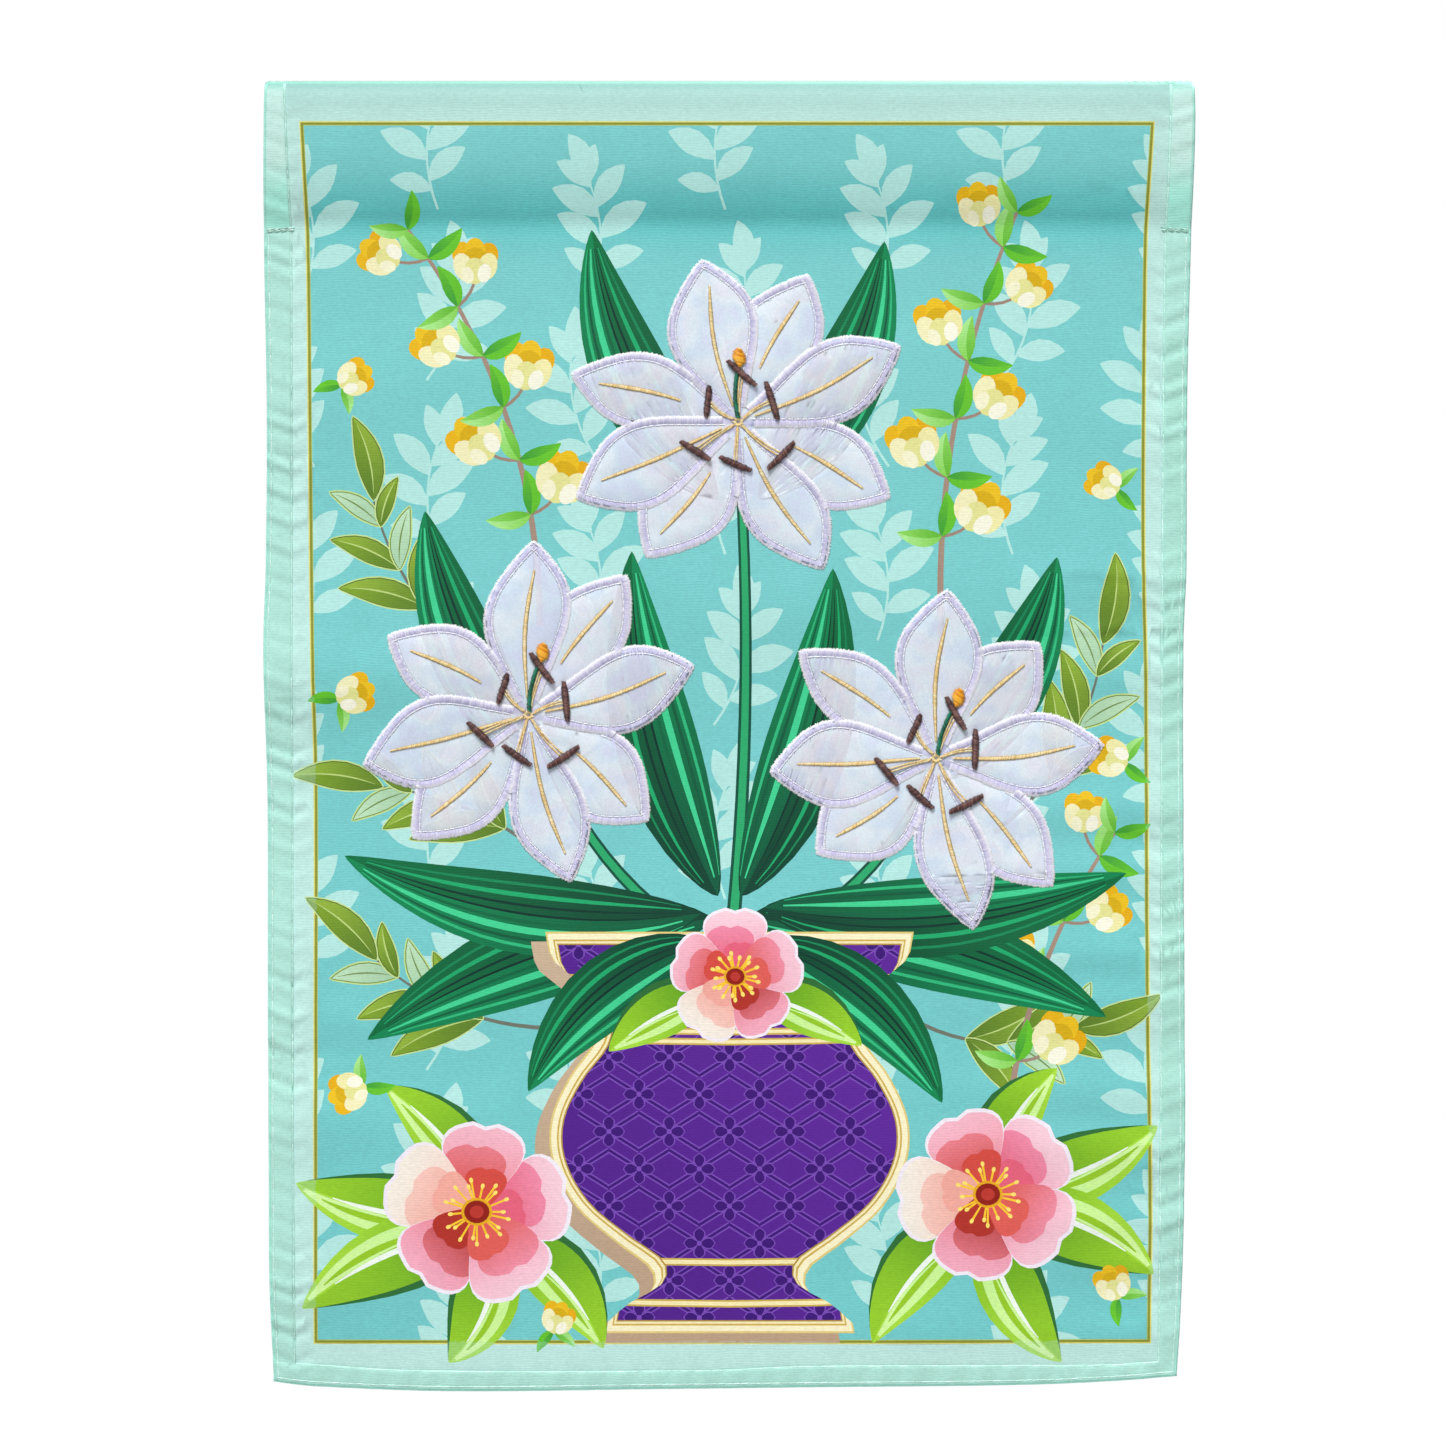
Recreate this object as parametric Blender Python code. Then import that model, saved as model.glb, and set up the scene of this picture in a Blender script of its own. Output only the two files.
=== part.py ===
"""Hung garden flag of two cloth layers, with a rod sleeve and three applique flowers.

Metres, +Z up. The front faces -Y, and the origin is the middle of the sleeve's top edge.
Heights are given as drops, measured down from that edge.
"""
import math
from collections import namedtuple

import bmesh
import bpy
from mathutils import Vector
from mathutils.geometry import delaunay_2d_cdt

MM = 0.001

# Cloth layers and the space that every piece keeps from its neighbour
CLOTH_THICK = 1.0 * MM
HEM_EXTRA = 0.5 * MM
PIECE_GAP = 0.3 * MM
SIDE_HEM = 8.4 * MM
BOTTOM_HEM = 6.6 * MM
HEM_RAMP = 0.8 * MM

# Sleeve and panels, as drops from the top edge
SLEEVE_DROP = 52.0 * MM
PANEL_TOP = SLEEVE_DROP + PIECE_GAP

# The sleeve's hollow is a little deeper and shallower by turns along the rod
SLEEVE_SLACK = 0.05
SLACK_WAVES = 1.5
SLACK_START = 0.6

# Spacing of the points that carry the waves
COLUMN_PITCH = 16.0 * MM
ROW_PITCH = 12.0 * MM

# The two side edges, which are not quite straight
Side = namedtuple("Side", "drop left right")
SIDES = (
    Side(0.0, -161.7, 161.7),
    Side(15.0, -161.9, 161.9),
    Side(57.0, -162.2, 160.8),
    Side(113.0, -161.2, 159.4),
    Side(168.0, -161.5, 159.1),
    Side(196.0, -162.2, 158.1),
    Side(252.0, -160.9, 158.0),
    Side(322.0, -160.7, 158.4),
    Side(364.0, -160.5, 158.7),
    Side(419.0, -160.4, 158.0),
    Side(454.0, -159.2, 156.3),
)

# The bottom edge, which rises towards both corners
Bottom = namedtuple("Bottom", "x drop")
BOTTOM = (
    Bottom(-160.0, 453.8),
    Bottom(-146.0, 455.5),
    Bottom(-99.0, 457.2),
    Bottom(-28.0, 456.5),
    Bottom(35.0, 455.8),
    Bottom(105.0, 455.1),
    Bottom(136.0, 453.8),
    Bottom(158.0, 452.0),
)

# The hollow of the sleeve: how far its wall stands from the middle plane
Wall = namedtuple("Wall", "drop depth")
SLEEVE_SECTION = (
    Wall(1.0, 0.0),
    Wall(1.7, 2.0),
    Wall(3.4, 3.5),
    Wall(7.0, 4.8),
    Wall(12.5, 5.5),
    Wall(20.0, 5.7),
    Wall(29.0, 5.0),
    Wall(37.0, 3.7),
    Wall(44.0, 2.1),
    Wall(49.0, 0.8),
    Wall(52.0, 0.15),
)

# Soft swells of the hanging cloth; a positive height comes forward
Swell = namedtuple("Swell", "x drop reach_x reach_drop height")
SWELLS = (
    Swell(-150.0, 200.0, 60.0, 26.0, 1.1),
    Swell(-150.0, 300.0, 70.0, 36.0, 0.8),
    Swell(-120.0, 392.0, 60.0, 30.0, 0.9),
    Swell(-20.0, 150.0, 90.0, 45.0, 0.9),
    Swell(150.0, 163.0, 60.0, 25.0, 0.9),
    Swell(155.0, 240.0, 50.0, 19.0, 0.9),
    Swell(150.0, 294.0, 60.0, 21.0, 0.8),
    Swell(20.0, 330.0, 110.0, 55.0, 1.1),
    Swell(150.0, 440.0, 45.0, 36.0, -2.6),
    Swell(-155.0, 455.0, 40.0, 30.0, -1.4),
)
SWELL_START = 60.0 * MM
SWELL_FULL = 110.0 * MM

# One petal of unit length: distance from the flower's middle, and half its width
Half = namedtuple("Half", "along width")
PETAL = (
    Half(0.02, 0.03),
    Half(0.20, 0.105),
    Half(0.38, 0.18),
    Half(0.54, 0.23),
    Half(0.67, 0.24),
    Half(0.79, 0.215),
    Half(0.89, 0.16),
    Half(0.96, 0.085),
    Half(1.0, 0.0),
)

# How far each petal reaches, and how far it sways from its even place, in turn
Petal = namedtuple("Petal", "reach sway_deg")
PETALS = (
    Petal(1.0, 0.0),
    Petal(0.94, 3.0),
    Petal(0.98, -2.0),
    Petal(0.95, 2.0),
    Petal(1.0, 1.0),
    Petal(0.93, -3.0),
    Petal(0.97, 2.0),
    Petal(0.94, -2.0),
)

# The three applique flowers; squeeze shortens a flower across the direction lean_deg
Flower = namedtuple("Flower", "name x drop radius turn_deg squeeze lean_deg")
FLOWERS = (
    Flower("flower_left", -70.0, 221.0, 62.0, 9.0, 0.92, 62.0),
    Flower("flower_top", 3.0, 119.0, 62.0, 21.0, 0.94, 5.0),
    Flower("flower_right", 72.0, 236.0, 62.0, 2.0, 0.9, 128.0),
)
FLOWER_THICK = 1.0 * MM
FLOWER_MESH = 10.0 * MM
PETAL_NOTCH = 0.55
POINT_MERGE = 0.05 * MM


def between(rows, column, at):
    """Value of a table's column on the smooth curve through its rows, by their first column."""
    last = len(rows) - 1
    at = min(max(at, rows[0][0]), rows[last][0])
    index = 0
    while index < last - 1 and at > rows[index + 1][0]:
        index += 1
    corners = [rows[max(index - 1, 0)], rows[index], rows[index + 1], rows[min(index + 2, last)]]
    (x_before, y_before), (x0, y0), (x1, y1), (x_after, y_after) = (
        (row[0], getattr(row, column)) for row in corners
    )
    slope0 = (y1 - y_before) / (x1 - x_before)
    slope1 = (y_after - y0) / (x_after - x0)
    span = x1 - x0
    t = (at - x0) / span
    return (
        y0 * (1 + 2 * t) * (1 - t) ** 2
        + slope0 * span * t * (1 - t) ** 2
        + y1 * t * t * (3 - 2 * t)
        - slope1 * span * t * t * (1 - t)
    )


def smooth_step(start, end, value):
    """Rise from 0 to 1 between start and end, level at both."""
    t = min(max((value - start) / (end - start), 0.0), 1.0)
    return t * t * (3 - 2 * t)


def edge_x(drop, hand):
    """Edge of the flag at a drop, where hand is left or right."""
    return between(SIDES, hand, drop / MM) * MM


def bottom_drop(x):
    """Drop of the bottom edge at x."""
    return between(BOTTOM, "drop", x / MM) * MM


def swell(x, drop):
    """How far the hanging cloth comes forward of the middle plane."""
    out = 0.0
    for row in SWELLS:
        across = (x / MM - row.x) / row.reach_x
        down = (drop / MM - row.drop) / row.reach_drop
        out += row.height * math.exp(-0.5 * (across * across + down * down))
    return out * MM * smooth_step(SWELL_START, SWELL_FULL, drop)


def column_distances(width):
    """Distances from the left edge, close at the hems and even between."""
    inner = SIDE_HEM + HEM_RAMP
    count = round((width - 2 * inner) / COLUMN_PITCH)
    even = [inner + (width - 2 * inner) * i / count for i in range(count + 1)]
    return [0.0, SIDE_HEM] + even + [width - SIDE_HEM, width]


def hem_extra(column, column_count, from_bottom=None):
    """Extra thickness of a folded hem at a column, or at a height over the edge."""
    at_side = column < 2 or column > column_count - 3
    at_bottom = from_bottom is not None and from_bottom <= BOTTOM_HEM + 0.5 * HEM_RAMP
    return HEM_EXTRA if at_side or at_bottom else 0.0


def add_triangles(mesh, corners):
    """Split the quad of corners along its first diagonal."""
    a, b, c, d = corners
    mesh.faces.new((a, b, c))
    mesh.faces.new((a, c, d))


def closed_sheet(name, outer, inner, material, holder):
    """Make one solid from two like grids of points, joined round their rims."""
    mesh = bmesh.new()
    faces = []
    for grid in (outer, inner):
        faces.append([[mesh.verts.new(point) for point in row] for row in grid])
    rows, columns = len(outer), len(outer[0])
    for verts in faces:
        for i in range(rows - 1):
            for j in range(columns - 1):
                add_triangles(mesh, (verts[i][j], verts[i][j + 1],
                                     verts[i + 1][j + 1], verts[i + 1][j]))
    rim = [(0, j) for j in range(columns)]
    rim += [(i, columns - 1) for i in range(1, rows)]
    rim += [(rows - 1, j) for j in range(columns - 2, -1, -1)]
    rim += [(i, 0) for i in range(rows - 2, 0, -1)]
    for (i0, j0), (i1, j1) in zip(rim, rim[1:] + rim[:1]):
        add_triangles(mesh, (faces[0][i0][j0], faces[0][i1][j1],
                             faces[1][i1][j1], faces[1][i0][j0]))
    return finish_object(name, mesh, material, holder)


def finish_object(name, mesh, material, holder):
    """Turn a closed mesh's faces outwards and put it in the scene."""
    bmesh.ops.recalc_face_normals(mesh, faces=mesh.faces)
    data = bpy.data.meshes.new(name)
    mesh.to_mesh(data)
    mesh.free()
    data.shade_smooth()
    data.set_sharp_from_angle(angle=math.radians(40))
    data.materials.append(material)
    piece = bpy.data.objects.new(name, data)
    piece.parent = holder
    bpy.context.scene.collection.objects.link(piece)
    return piece


def make_panel(name, side, material, holder):
    """One layer of cloth below the sleeve: side is -1 in front and +1 behind."""
    width = edge_x(PANEL_TOP, "right") - edge_x(PANEL_TOP, "left")
    shares = [distance / width for distance in column_distances(width)]
    corner_drop = BOTTOM[0].drop * MM
    body_rows = round((corner_drop - PANEL_TOP) / ROW_PITCH)
    heights = [(row / body_rows, BOTTOM_HEM + HEM_RAMP) for row in range(body_rows + 1)]
    heights += [(1.0, BOTTOM_HEM), (1.0, 0.0)]
    outer, inner = [], []
    for share_down, over_edge in heights:
        outer_row, inner_row = [], []
        for column, share in enumerate(shares):
            rough_drop = PANEL_TOP + (corner_drop - over_edge - PANEL_TOP) * share_down
            left, right = edge_x(rough_drop, "left"), edge_x(rough_drop, "right")
            x = left + (right - left) * share
            drop = PANEL_TOP + (bottom_drop(x) - over_edge - PANEL_TOP) * share_down
            forward = swell(x, drop)
            from_bottom = over_edge if share_down == 1.0 else None
            thick = CLOTH_THICK + hem_extra(column, len(shares), from_bottom)
            inner_row.append(Vector((x, side * 0.5 * PIECE_GAP - forward, -drop)))
            outer_row.append(Vector((x, side * (0.5 * PIECE_GAP + thick) - forward, -drop)))
        outer.append(outer_row)
        inner.append(inner_row)
    return closed_sheet(name, outer, inner, material, holder)


def sleeve_path():
    """Inner face and outward direction along the section, front hem to back hem."""
    front = [Vector((-row.depth * MM, -row.drop * MM)) for row in reversed(SLEEVE_SECTION)]
    back = [Vector((-point.x, point.y)) for point in reversed(front[:-1])]
    inner = front + back
    outwards = []
    for index in range(len(inner)):
        ahead = inner[min(index + 1, len(inner) - 1)]
        behind = inner[max(index - 1, 0)]
        along = (ahead - behind).normalized()
        outwards.append(Vector((-along.y, along.x)))
    outwards[0] = Vector((-1.0, 0.0))
    outwards[-1] = Vector((1.0, 0.0))
    return inner, outwards


def make_sleeve(material, holder):
    """The strip round the rod's space, open at both sides."""
    inner_path, outwards = sleeve_path()
    width = edge_x(0.0, "right") - edge_x(0.0, "left")
    shares = [distance / width for distance in column_distances(width)]
    outer, inner = [], []
    for point, outward in zip(inner_path, outwards):
        outer_row, inner_row = [], []
        left, right = edge_x(-point.y, "left"), edge_x(-point.y, "right")
        for column, share in enumerate(shares):
            x = left + (right - left) * share
            slack = SLEEVE_SLACK * math.sin(math.tau * SLACK_WAVES * share + SLACK_START)
            free = smooth_step(0.0, SLEEVE_DROP, SLEEVE_DROP + point.y)
            depth = point.x * (1.0 + slack * free)
            thick = CLOTH_THICK + hem_extra(column, len(shares)) * abs(outward.x)
            inner_row.append(Vector((x, depth, point.y)))
            outer_row.append(Vector((x, depth + outward.x * thick, point.y + outward.y * thick)))
        outer.append(outer_row)
        inner.append(inner_row)
    return closed_sheet("rod_sleeve", outer, inner, material, holder)


def petal_outline(radius, turn):
    """Points round one petal, anticlockwise from its root."""
    side = [(row.along * radius, row.width * radius) for row in PETAL]
    points = [(along, -half) for along, half in side[:-1]] + list(reversed(side))
    cos, sin = math.cos(turn), math.sin(turn)
    return [Vector((a * cos - h * sin, a * sin + h * cos)) for a, h in points]


def squeezed(point, squeeze, lean):
    """Shorten a point's distance across the direction lean."""
    along = Vector((math.cos(lean), math.sin(lean)))
    across = Vector((-along.y, along.x))
    return along * point.dot(along) + across * point.dot(across) * squeeze


def flower_plan(radius, turn, squeeze, lean):
    """Points and triangles of the petals' joint outline, seen from the front."""
    points, petals = [], []
    for index, petal in enumerate(PETALS):
        axis = turn + math.tau * index / len(PETALS) + math.radians(petal.sway_deg)
        outline = petal_outline(radius * petal.reach, axis)
        petals.append(list(range(len(points), len(points) + len(outline))))
        points += [squeezed(point, squeeze, lean) for point in outline]
    half = math.ceil(radius / FLOWER_MESH)
    for i in range(-half, half + 1):
        for j in range(-half, half + 1):
            point = Vector(((i + 0.5 * (j % 2)) * FLOWER_MESH, j * FLOWER_MESH * 0.866))
            if point.length < radius * PETAL_NOTCH:
                points.append(squeezed(point, squeeze, lean))
    verts, _, faces, _, _, owners = delaunay_2d_cdt(points, [], petals, 0, POINT_MERGE, True)
    return verts, [face for face, owner in zip(faces, owners) if owner]


def make_flower(flower, material, holder):
    """One applique flower, lying on the front panel."""
    verts, triangles = flower_plan(flower.radius * MM, math.radians(flower.turn_deg),
                                   flower.squeeze, math.radians(flower.lean_deg))
    used = sorted({index for triangle in triangles for index in triangle})
    mesh = bmesh.new()
    near, far = {}, {}
    seat = 0.5 * PIECE_GAP + CLOTH_THICK + PIECE_GAP
    for index in used:
        x = flower.x * MM + verts[index].x
        drop = flower.drop * MM - verts[index].y
        forward = swell(x, drop)
        far[index] = mesh.verts.new((x, -seat - forward, -drop))
        near[index] = mesh.verts.new((x, -seat - FLOWER_THICK - forward, -drop))
    edges = []
    for triangle in triangles:
        mesh.faces.new([near[index] for index in triangle])
        mesh.faces.new([far[index] for index in reversed(triangle)])
        edges += zip(triangle, triangle[1:] + triangle[:1])
    shared = set(edges)
    for start, end in edges:
        if (end, start) not in shared:
            add_triangles(mesh, (near[end], near[start], far[start], far[end]))
    return finish_object(flower.name, mesh, material, holder)


def make_material(name, colour, roughness):
    """Plain finish of one kind of cloth."""
    material = bpy.data.materials.new(name)
    material.use_nodes = True
    shader = material.node_tree.nodes["Principled BSDF"]
    shader.inputs["Base Color"].default_value = (*colour, 1.0)
    shader.inputs["Roughness"].default_value = roughness
    shader.inputs["Metallic"].default_value = 0.0
    return material


def clear_scene():
    """Remove every object of the open scene."""
    for thing in list(bpy.data.objects):
        bpy.data.objects.remove(thing, do_unlink=True)


def build():
    """Make the sleeve, both panels and the three flowers."""
    clear_scene()
    holder = bpy.data.objects.new("hanging_point", None)
    bpy.context.scene.collection.objects.link(holder)
    mint = make_material("mint_cloth", (0.44, 0.75, 0.68), 0.8)
    teal = make_material("teal_cloth", (0.20, 0.60, 0.60), 0.8)
    back = make_material("back_cloth", (0.22, 0.58, 0.58), 0.82)
    make_sleeve(mint, holder)
    make_panel("front_panel", -1, teal, holder)
    make_panel("back_panel", 1, back, holder)
    for flower in FLOWERS:
        satin = make_material(flower.name + "_satin", (0.62, 0.60, 0.72), 0.35)
        make_flower(flower, satin, holder)


build()
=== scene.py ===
"""Applique garden flag: printed front, plainer back, three satin flowers and all their thread.

Lengths are millimetres on the flat cloth, x to the right and z up from the top edge, and
become metres where a mesh is made.
"""

from __future__ import annotations

import logging
import math
from collections.abc import Callable
from dataclasses import dataclass, field
from enum import Enum

import bpy
import numpy as np
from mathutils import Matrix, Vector
from mathutils.geometry import delaunay_2d_cdt


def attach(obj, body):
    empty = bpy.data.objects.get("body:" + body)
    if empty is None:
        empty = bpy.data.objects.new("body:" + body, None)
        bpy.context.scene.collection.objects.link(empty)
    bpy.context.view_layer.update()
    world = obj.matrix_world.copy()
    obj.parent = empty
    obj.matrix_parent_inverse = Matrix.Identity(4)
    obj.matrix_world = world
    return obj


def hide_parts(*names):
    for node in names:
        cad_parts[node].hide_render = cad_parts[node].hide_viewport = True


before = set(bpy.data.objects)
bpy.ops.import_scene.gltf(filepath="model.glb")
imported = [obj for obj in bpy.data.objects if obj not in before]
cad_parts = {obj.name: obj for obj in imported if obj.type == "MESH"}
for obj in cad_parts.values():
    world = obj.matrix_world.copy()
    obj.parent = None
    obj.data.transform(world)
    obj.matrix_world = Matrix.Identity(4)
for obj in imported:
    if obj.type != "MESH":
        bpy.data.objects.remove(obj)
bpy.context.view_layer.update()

LOG = logging.getLogger("garden_flag")
MM = 0.001
SAME_PLACE = 1e-7
TINY = 1e-9
DYE = "dye"

Array = np.ndarray
Place = tuple[float, float]
Colour = tuple[float, float, float]
Spot = tuple[float, float, float]
Codes = tuple[str, ...]
Row = tuple[float, ...]
Rows = tuple[Row, ...]
Socket = bpy.types.NodeSocket


def dye(code: str) -> Colour:
    """Linear red, green and blue of a display colour written in six hexadecimal figures."""
    parts = [int(code[i:i + 2], 16) / 255 for i in (0, 2, 4)]
    return tuple(p / 12.92 if p <= 0.04045 else ((p + 0.055) / 1.055) ** 2.4 for p in parts)


def ease(start: float, end: float, value: Array) -> Array:
    """Rise from 0 to 1 between start and end, level at both."""
    share = np.clip((np.asarray(value, float) - start) / (end - start), 0.0, 1.0)
    return share * share * (3 - 2 * share)


def bell(distance: Array, reach: float) -> Array:
    """A bump of height 1 that fades with distance."""
    return np.exp(-0.5 * (np.asarray(distance, float) / reach) ** 2)


def turned(places: Array, degrees: float) -> Array:
    """Turn places about the origin, anticlockwise."""
    cos, sin = math.cos(math.radians(degrees)), math.sin(math.radians(degrees))
    return places @ np.array([[cos, sin], [-sin, cos]])


def heading(run: Array) -> float:
    """Direction of a run in degrees."""
    return math.degrees(math.atan2(run[1], run[0]))


def ahead(base: Place | Array, degrees: float, length: float) -> Place:
    """The place a length away from base in a direction."""
    angle = math.radians(degrees)
    return base[0] + length * math.cos(angle), base[1] + length * math.sin(angle)


def unit(vectors: Array) -> Array:
    """Vectors brought to length 1."""
    return vectors / np.maximum(np.linalg.norm(vectors, axis=-1, keepdims=True), TINY)


def left_of(along: Array) -> Array:
    """Vectors turned a quarter to the left."""
    return np.stack([-along[:, 1], along[:, 0]], axis=1)


def leftward(way: Array) -> Array:
    """Unit vectors to the left of a way at each of its points."""
    return left_of(unit(np.gradient(way, axis=0)))


@dataclass(frozen=True)
class Curve:
    """A smooth curve through short rows of numbers, read by their first column."""

    rows: Rows

    def at(self, value: Array, column: int = 1) -> Array:
        """Read a column of the curve.

        Args:
            value: Where to read, along the first column.
            column: Which column to read.

        Returns:
            The column's smooth value at each place.
        """
        table = np.array(self.rows, float)
        xs, ys = table[:, 0], table[:, column]
        value = np.clip(np.asarray(value, float), xs[0], xs[-1])
        row = np.clip(np.searchsorted(xs, value, side="right") - 1, 0, len(xs) - 2)
        before, after = np.maximum(row - 1, 0), np.minimum(row + 2, len(xs) - 1)
        span = xs[row + 1] - xs[row]
        slope_in = (ys[row + 1] - ys[before]) / (xs[row + 1] - xs[before])
        slope_out = (ys[after] - ys[row]) / (xs[after] - xs[row])
        t = (value - xs[row]) / span
        return (ys[row] * (1 + 2 * t) * (1 - t) ** 2 + slope_in * span * t * (1 - t) ** 2
                + ys[row + 1] * t * t * (3 - 2 * t) - slope_out * span * t * t * (1 - t))

    def down(self, drops: Array, side: int, shift: float = 0.0) -> Array:
        """Places down the left (1) or right (2) side, shifted to the right."""
        return np.stack([self.at(drops, side) + shift, -drops], axis=1)

    def along(self, xs: Array, shift: float = 0.0) -> Array:
        """Places along a curve of drops, shifted upwards."""
        return np.stack([xs, shift - self.at(xs)], axis=1)


class Layer(Enum):
    """The two layers of cloth, by the way they face along Y."""

    FRONT = -1.0
    BACK = 1.0


@dataclass(frozen=True)
class Drape:
    """Where the hanging cloth lies: its edges, its sleeve, its swells and its puckers."""

    sides: Curve = Curve((
        (0, -161.7, 161.7), (15, -161.9, 161.9), (57, -162.2, 160.8),
        (113, -161.2, 159.4), (168, -161.5, 159.1), (196, -162.2, 158.1),
        (252, -160.9, 158), (322, -160.7, 158.4), (364, -160.5, 158.7),
        (419, -160.4, 158), (454, -159.2, 156.3),
    ))
    bottom: Curve = Curve((
        (-160, 453.8), (-146, 455.5), (-99, 457.2), (-28, 456.5), (35, 455.8),
        (105, 455.1), (136, 453.8), (158, 452),
    ))
    side_seams: Curve = Curve((
        (0, -154.8, 153.6), (36, -153.4, 152.6), (56, -152.7, 151.8),
        (163, -152.4, 150.7), (300, -152.1, 150.3), (447, -151.8, 150),
    ))
    bottom_seam: Curve = Curve((
        (-162, 446.9), (-151, 447.5), (-111, 449.9), (-10, 449.9), (25, 448.5),
        (70, 448.2), (132, 448.2), (149, 447.1), (160, 446.4),
    ))
    wall: Curve = Curve((
        (0, 0.12), (0.4, 1.7), (1.2, 3.3), (2.6, 4.9), (4.4, 5.9), (6.5, 6.3), (9, 6.45),
        (12.5, 6.55), (20, 6.5), (29, 5.95), (37, 4.8), (44, 3.2), (50, 1.35),
        (52.5, 1.12), (56, 1.15), (460, 1.15),
    ))
    swells: Rows = (
        (-150, 200, 60, 26, 1.1), (-150, 300, 70, 36, 0.8),
        (-120, 392, 60, 30, 0.9), (-20, 150, 90, 45, 0.9),
        (0, 488, 230, 48, -5),
        (150, 163, 60, 25, 0.9), (155, 240, 50, 19, 0.9),
        (150, 294, 60, 21, 0.8), (20, 330, 110, 55, 1.1),
        (150, 440, 45, 36, -2.6), (-155, 455, 40, 30, -1.4),
        (-155, 208, 52, 11, 1.6), (-152, 328, 36, 6, 0.7),
        (-154, 362, 42, 8, 1), (-154, 419, 40, 9, 0.7),
        (-150, 119, 45, 12, 0.5), (156, 120, 50, 9, 0.5),
        (155, 173, 34, 5, 0.6), (154, 206, 42, 6, 0.9),
        (156, 254, 46, 5.5, 1), (156, 275, 40, 5, 0.9),
        (156, 304, 44, 4.5, 0.8), (156, 322, 40, 6, 0.9),
        (156, 352, 50, 6, 1), (156, 371, 46, 6, 1),
        (154, 398, 40, 5, 0.8), (154, 412, 30, 4, 0.5),
        (154, 437, 40, 5, 0.7), (-20, 96, 120, 12, 0.6),
        (30, 184, 90, 14, 0.8), (-10, 300, 100, 13, 0.8),
        (-60, 441, 60, 12, 0.7), (70, 436, 50, 10, 0.6),
    )
    swell_scale: float = 1.35
    swell_start: float = 60.0
    swell_full: float = 110.0
    cloth: float = 0.85
    hem_extra: float = 0.5
    tack_drop: float = 52.0
    edge_round: float = 1.4
    folds: Rows = (
        (138, 173, 15, 0.05, 0.3), (140, 191, 22, -0.02, 0.42),
        (136, 38, 7, 0.12, 0.22), (-148, 214, 12, -0.1, 0.18),
        (146, 262, 12, 0.08, 0.2), (-150, 341, 13, 0.1, 0.16),
    )
    pucker: float = 0.28
    pucker_pitch: float = 8.3
    pucker_skew: float = 0.4
    pucker_reach: float = 5.5
    fine_pitch: float = 5.1
    low_pitch: float = 10.5
    low_reach: float = 4.5
    groove: float = 0.08
    groove_width: float = 0.45
    edge_groove: float = 1.9
    edge_step: float = 1.7

    def span(self, drop: Array) -> tuple[Array, Array]:
        """Left and right edge of the cloth at a drop."""
        return self.sides.at(drop, 1), self.sides.at(drop, 2)

    def inset(self, x: Array, drop: Array) -> tuple[Array, Array, Array]:
        """Distances into the cloth from its left, right and bottom edge."""
        left, right = self.span(drop)
        return x - left, right - x, self.bottom.at(x) - drop

    def past_seams(self, x: Array, drop: Array) -> tuple[Array, Array]:
        """Distances inwards from the nearer side seam and from the bottom seam."""
        side = np.minimum(x - self.side_seams.at(drop, 1), self.side_seams.at(drop, 2) - x)
        return side, self.bottom_seam.at(x) - drop

    def swell(self, x: Array, drop: Array) -> Array:
        """How far the hanging cloth comes forward of the middle plane."""
        out = sum(height * bell(np.hypot((x - at_x) / wide, (drop - at_drop) / long), 1)
                  for at_x, at_drop, wide, long, height in self.swells)
        return self.swell_scale * out * ease(self.swell_start, self.swell_full, drop)

    def puckers(self, x: Array, drop: Array) -> Array:
        """Find the small waves that the hem seams draw into the cloth.

        Args:
            x: Places across the cloth.
            drop: Places down the cloth.

        Returns:
            How far forward they bring each place.
        """
        side, low = self.past_seams(x, drop)
        hand = np.sign(x)
        skewed = drop + self.pucker_skew * np.abs(side)
        wave = np.sin(math.tau * skewed / self.pucker_pitch + 1.3 * np.sin(math.tau * drop / 61.0)
                      + 1.7 * hand)
        fine = math.tau * skewed / self.fine_pitch
        wave += 0.45 * np.sin(fine + 2.0 * np.sin(drop / 23.0) + hand)
        strength = 0.65 + 0.35 * np.sin(math.tau * drop / 97.0 + 1.2 * hand)
        skewed = x + self.pucker_skew * np.abs(low)
        across = np.sin(math.tau * skewed / self.low_pitch + 1.5 * np.sin(x / 19.0))
        reach = bell(np.maximum(side, 0.0), self.pucker_reach)
        calm = 0.5 + 0.5 * ease(self.tack_drop, self.tack_drop + 12.0, drop)
        return self.pucker * (wave * strength * reach * calm
                              + 0.6 * across * bell(np.maximum(low, 0.0), self.low_reach))

    def creases(self, x: Array, drop: Array) -> Array:
        """Find the sharp little folds left from the packing, and the slow unevenness.

        Args:
            x: Places across the cloth.
            drop: Places down the cloth.

        Returns:
            How far forward they bring each place.
        """
        out = np.zeros(np.broadcast(x, drop).shape)
        for at_x, at_drop, reach, slope, height in self.folds:
            line = drop - at_drop - slope * (x - at_x)
            out += height * bell(line, 0.9) * bell(x - at_x, reach)
            out -= 0.5 * height * bell(line - 2.2, 1.4) * bell(x - at_x, reach)
        out += 0.1 * np.sin(x / 17.0 + 1.3 * np.sin(drop / 29.0)) * np.sin(drop / 13.0 + x / 41.0)
        return out * ease(2.0, 20.0, drop)

    def forward(self, x: Array, drop: Array) -> Array:
        """Everything that moves both layers forward together."""
        return self.swell(x, drop) + self.puckers(x, drop) + self.creases(x, drop)

    def inner_depth(self, drop: Array) -> Array:
        """Depth of a layer's inner side, from the middle plane."""
        return np.maximum(self.wall.at(drop) - self.cloth, 0.03)

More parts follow.
